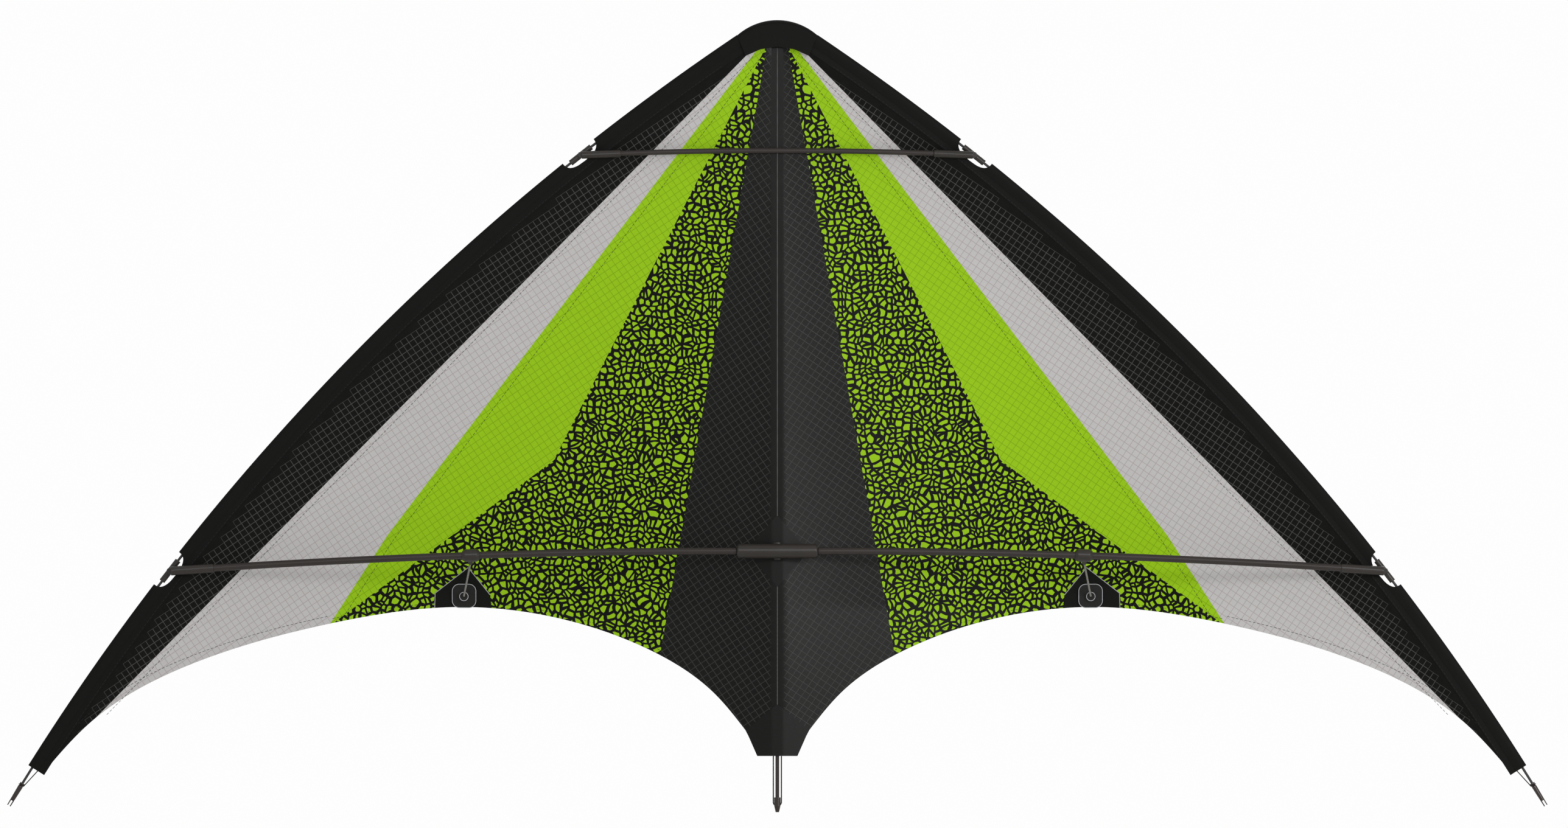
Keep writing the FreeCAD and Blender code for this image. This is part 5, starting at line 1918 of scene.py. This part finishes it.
@dataclass
class CrossBand:
    """The middle of the centre fitting, where its two arms run into each other."""

    radius: float = 0.00577
    reach: float = 0.0075
    eased: float = 0.0003

    def make(self, lower: Array) -> None:
        """Carry the arms' section through the middle, eased in at both ends.

        Args:
            lower: Points of the right lower spreader, from the centre out.
        """
        away = unit(lower[3] - lower[0])
        marks = np.array([-1.0, -0.97, -0.6, -0.3, -0.1, 0.0, 0.1, 0.3, 0.6, 0.97, 1.0])
        path = np.abs(marks)[:, None] * away * self.reach
        path[:, 0] *= np.sign(marks)
        girth = np.full(len(marks), self.radius)
        girth[[0, -1]] -= self.eased
        rings, surface = carried(path, girth, girth, 64, BACK)
        draft = Draft()
        draft.tube(rings, surface)
        made = draft.piece("cross_middle", RUBBER)
        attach(made, "spine")


@dataclass
class Fittings:
    """Every moulded fitting and small cord of the kite."""

    def moulded(self) -> list[Fitting]:
        """List the moulded fittings.

        Returns:
            Each with its node, body, finish and fineness.
        """
        made = [Fitting("centre_cross", "spine", RUBBER, 0.0003),
                Fitting("tail_cap", "spine", NOCK_PLASTIC, 0.00016),
                Fitting("upper_connector_left", "upper_spreader", RUBBER, 0.00022),
                Fitting("upper_connector_right", "upper_connector_right", RUBBER, 0.00022)]
        for side in Side:
            made += [
                Fitting(f"lower_connector_{side.label}", f"lower_spreader_{side.label}", RUBBER,
                        0.00024),
                Fitting(f"standoff_clip_{side.label}", f"standoff_{side.label}", RUBBER, 0.0002),
                Fitting(f"standoff_socket_{side.label}", side.wing, SOCKET_PLASTIC,
                        0.00022),
                Fitting(f"tip_nock_{side.label}", side.wing, NOCK_PLASTIC, 0.00015),
            ]
        return made

    def plain(self) -> dict[str, Finish]:
        """Name the nodes that keep their own mesh.

        Returns:
            Each node's finish by its name.
        """
        kept: dict[str, Finish] = {"spine_top_cap": RUBBER, "tail_tension_line": LINE}
        for side in Side:
            kept |= {f"standoff_rod_{side.label}": STANDOFF_ROD,
                     f"leading_edge_cap_{side.label}": RUBBER}
        return kept

    def make(self) -> None:
        """Make the fittings and dress the kept nodes."""
        for fitting in self.moulded():
            fitting.make()
        for node, finish in self.plain().items():
            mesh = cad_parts[node].data
            mesh.materials.clear()
            mesh.materials.append(finish.material())
            LOG.info("%s: its own shape", node)
        for side in Side:
            TipElastic().make(side)


@dataclass
class StandoffRimHighlights:
    """Painted highlight on the standoff socket: pale lines round its plate and round its cup."""

    form: SailForm = FORM
    foot: tuple[float, float] = (0.249, -0.0354)
    side_length: float = 0.0188
    corner: float = 0.0056
    cup_radius: float = 0.0034
    lift: float = 0.00095
    plate: float = 0.0009
    cup: float = 0.0035
    step: float = 0.0005

    def make(self, sail: Sail) -> None:
        """Lay both painted highlight lines on the sockets of both wings.

        They lie square to the sail at the standoff's foot, whose slopes come from the sail's
        front a step to either side.

        Args:
            sail: The sail, which lays the painted highlight lines.
        """
        x, z = (np.float64(v) for v in self.foot)
        step = self.step
        slope_x = (self.form.front(x + step, z) - self.form.front(x - step, z)) / (2 * step)
        slope_z = (self.form.front(x, z + step) - self.form.front(x, z - step)) / (2 * step)
        normal = unit(np.array([slope_x, -1.0, slope_z]))
        across = unit(np.array([1.0, 0, 0]) - normal * normal[0])
        raised = np.cross(normal, across)
        seat = np.array([x, self.form.front(x, z), z]) + normal * self.lift
        t = np.linspace(0, 2 * math.pi, 96, endpoint=False)
        half = self.side_length / 2 - self.corner
        turn = np.floor(t / (math.pi / 2)) * (math.pi / 2) + math.pi / 4
        square = np.stack([np.sign(np.cos(turn)) * half + self.corner * np.cos(t),
                           np.sign(np.sin(turn)) * half + self.corner * np.sin(t)], axis=1)
        ring = np.stack([np.cos(t), np.sin(t)], axis=1) * self.cup_radius
        for side in Side:
            for name, outline, height in (("plate", square, self.plate),
                                          ("cup", ring, self.plate + self.cup)):
                path = seat + normal * height + outline[:, :1] * across + outline[:, 1:] * raised
                # Pale tubes on the plate edge and cup rim are painted highlight.
                sail.bead(path, side, f"standoff_{name}_bead_{side.label}", True)


# ------------------------------------------------------------------ studio


@dataclass(frozen=True)
class Lamp:
    """A soft rectangular lamp that faces the kite.

    Azimuth is in degrees to the right of the flyer's line of sight and elevation in degrees
    above it, distance and size are in metres, and power is in watts.
    """

    name: str
    azimuth: float
    elevation: float
    distance: float
    size: tuple[float, float]
    power: float
    gloss_only: bool = False
    aim: tuple[float, float, float] = (0.0, 0.0, 0.1)

    def hang(self) -> None:
        """Place the lamp on its ray from the aim, and turn it to face the aim."""
        turn, rise = math.radians(self.azimuth), math.radians(self.elevation)
        away = np.array([math.sin(turn) * math.cos(rise), -math.cos(turn) * math.cos(rise),
                         math.sin(rise)])
        data = bpy.data.lights.new(self.name, "AREA")
        data.shape = "RECTANGLE"
        data.size, data.size_y = self.size
        data.energy = self.power
        lamp = bpy.data.objects.new(self.name, data)
        lamp.location = np.array(self.aim) + away * self.distance
        lamp.rotation_euler = (math.pi / 2 - rise, 0.0, turn)
        lamp.visible_camera = False
        if self.gloss_only:
            lamp.visible_diffuse = False
        bpy.context.scene.collection.objects.link(lamp)


@dataclass
class Studio:
    """A pale floor, soft light and the camera."""

    floor_height: float = -0.2085
    floor_size: float = 14.0
    camera_at: tuple[float, float, float] = (0.0053, -4.0, 0.1091)
    frame_width: float = 1.2468
    surround: float = 0.74
    backdrop: float = 0.985
    lamps: tuple[Lamp, ...] = (
        Lamp("key", 34.0, 14.0, 2.6, (0.7, 0.5), 16.0),
        Lamp("sheen", 46.0, 3.0, 2.6, (0.4, 1.2), 14.0, True),
        Lamp("strip", 4.0, 16.0, 2.2, (2.4, 0.10), 16.0, True),
        Lamp("back_fill", 160.0, 20.0, 3.0, (1.6, 1.2), 14.0),
    )

    def surroundings(self) -> None:
        """Fill the room with even white light and show a near-white backdrop."""
        world = bpy.data.worlds.new("studio")
        world.use_nodes = True
        tree = world.node_tree
        background = next(n for n in tree.nodes if n.type == "BACKGROUND")
        background.inputs["Color"].default_value = (1.0, 1.0, 1.0, 1.0)
        path = tree.nodes.new("ShaderNodeLightPath")
        level = tree.nodes.new("ShaderNodeMapRange")
        level.inputs[3].default_value = self.surround
        level.inputs[4].default_value = self.backdrop
        tree.links.new(path.outputs["Is Camera Ray"], level.inputs[0])
        tree.links.new(level.outputs[0], background.inputs["Strength"])
        bpy.context.scene.world = world

    def floor(self) -> None:
        """Lay the floor under the kite."""
        half = self.floor_size / 2
        corners = np.array([(-half, -half), (half, -half), (half, half), (-half, half)])
        mesh = bpy.data.meshes.new("floor")
        points = np.column_stack([corners, np.full(4, self.floor_height)])
        mesh.from_pydata(points, [], [[0, 1, 2, 3]])
        mesh.materials.append(FLOOR.material())
        obj = bpy.data.objects.new("floor", mesh)
        bpy.context.scene.collection.objects.link(obj)

    def camera(self) -> None:
        """Set up a level camera square to the kite, without perspective."""
        data = bpy.data.cameras.new("camera")
        data.type = "ORTHO"
        data.ortho_scale = self.frame_width
        camera = bpy.data.objects.new("camera", data)
        camera.location = self.camera_at
        camera.rotation_euler = (math.pi / 2, 0.0, 0.0)
        bpy.context.scene.collection.objects.link(camera)
        bpy.context.scene.camera = camera

    def make(self) -> None:
        """Set the studio up."""
        self.camera()
        self.surroundings()
        self.floor()
        for lamp in self.lamps:
            lamp.hang()
        bpy.context.scene.view_settings.view_transform = "Standard"


def main() -> None:
    """Make the whole kite and its studio."""
    logging.basicConfig(level=logging.INFO, format="%(message)s")
    Studio().make()
    sail = Sail()
    sail.make()
    Stitching().make(sail)
    LeadingEdge().make()
    Spine().make()
    Spreaders().make()
    Fittings().make()
    StandoffRimHighlights().make(sail)


if __name__ == "__main__":
    main()
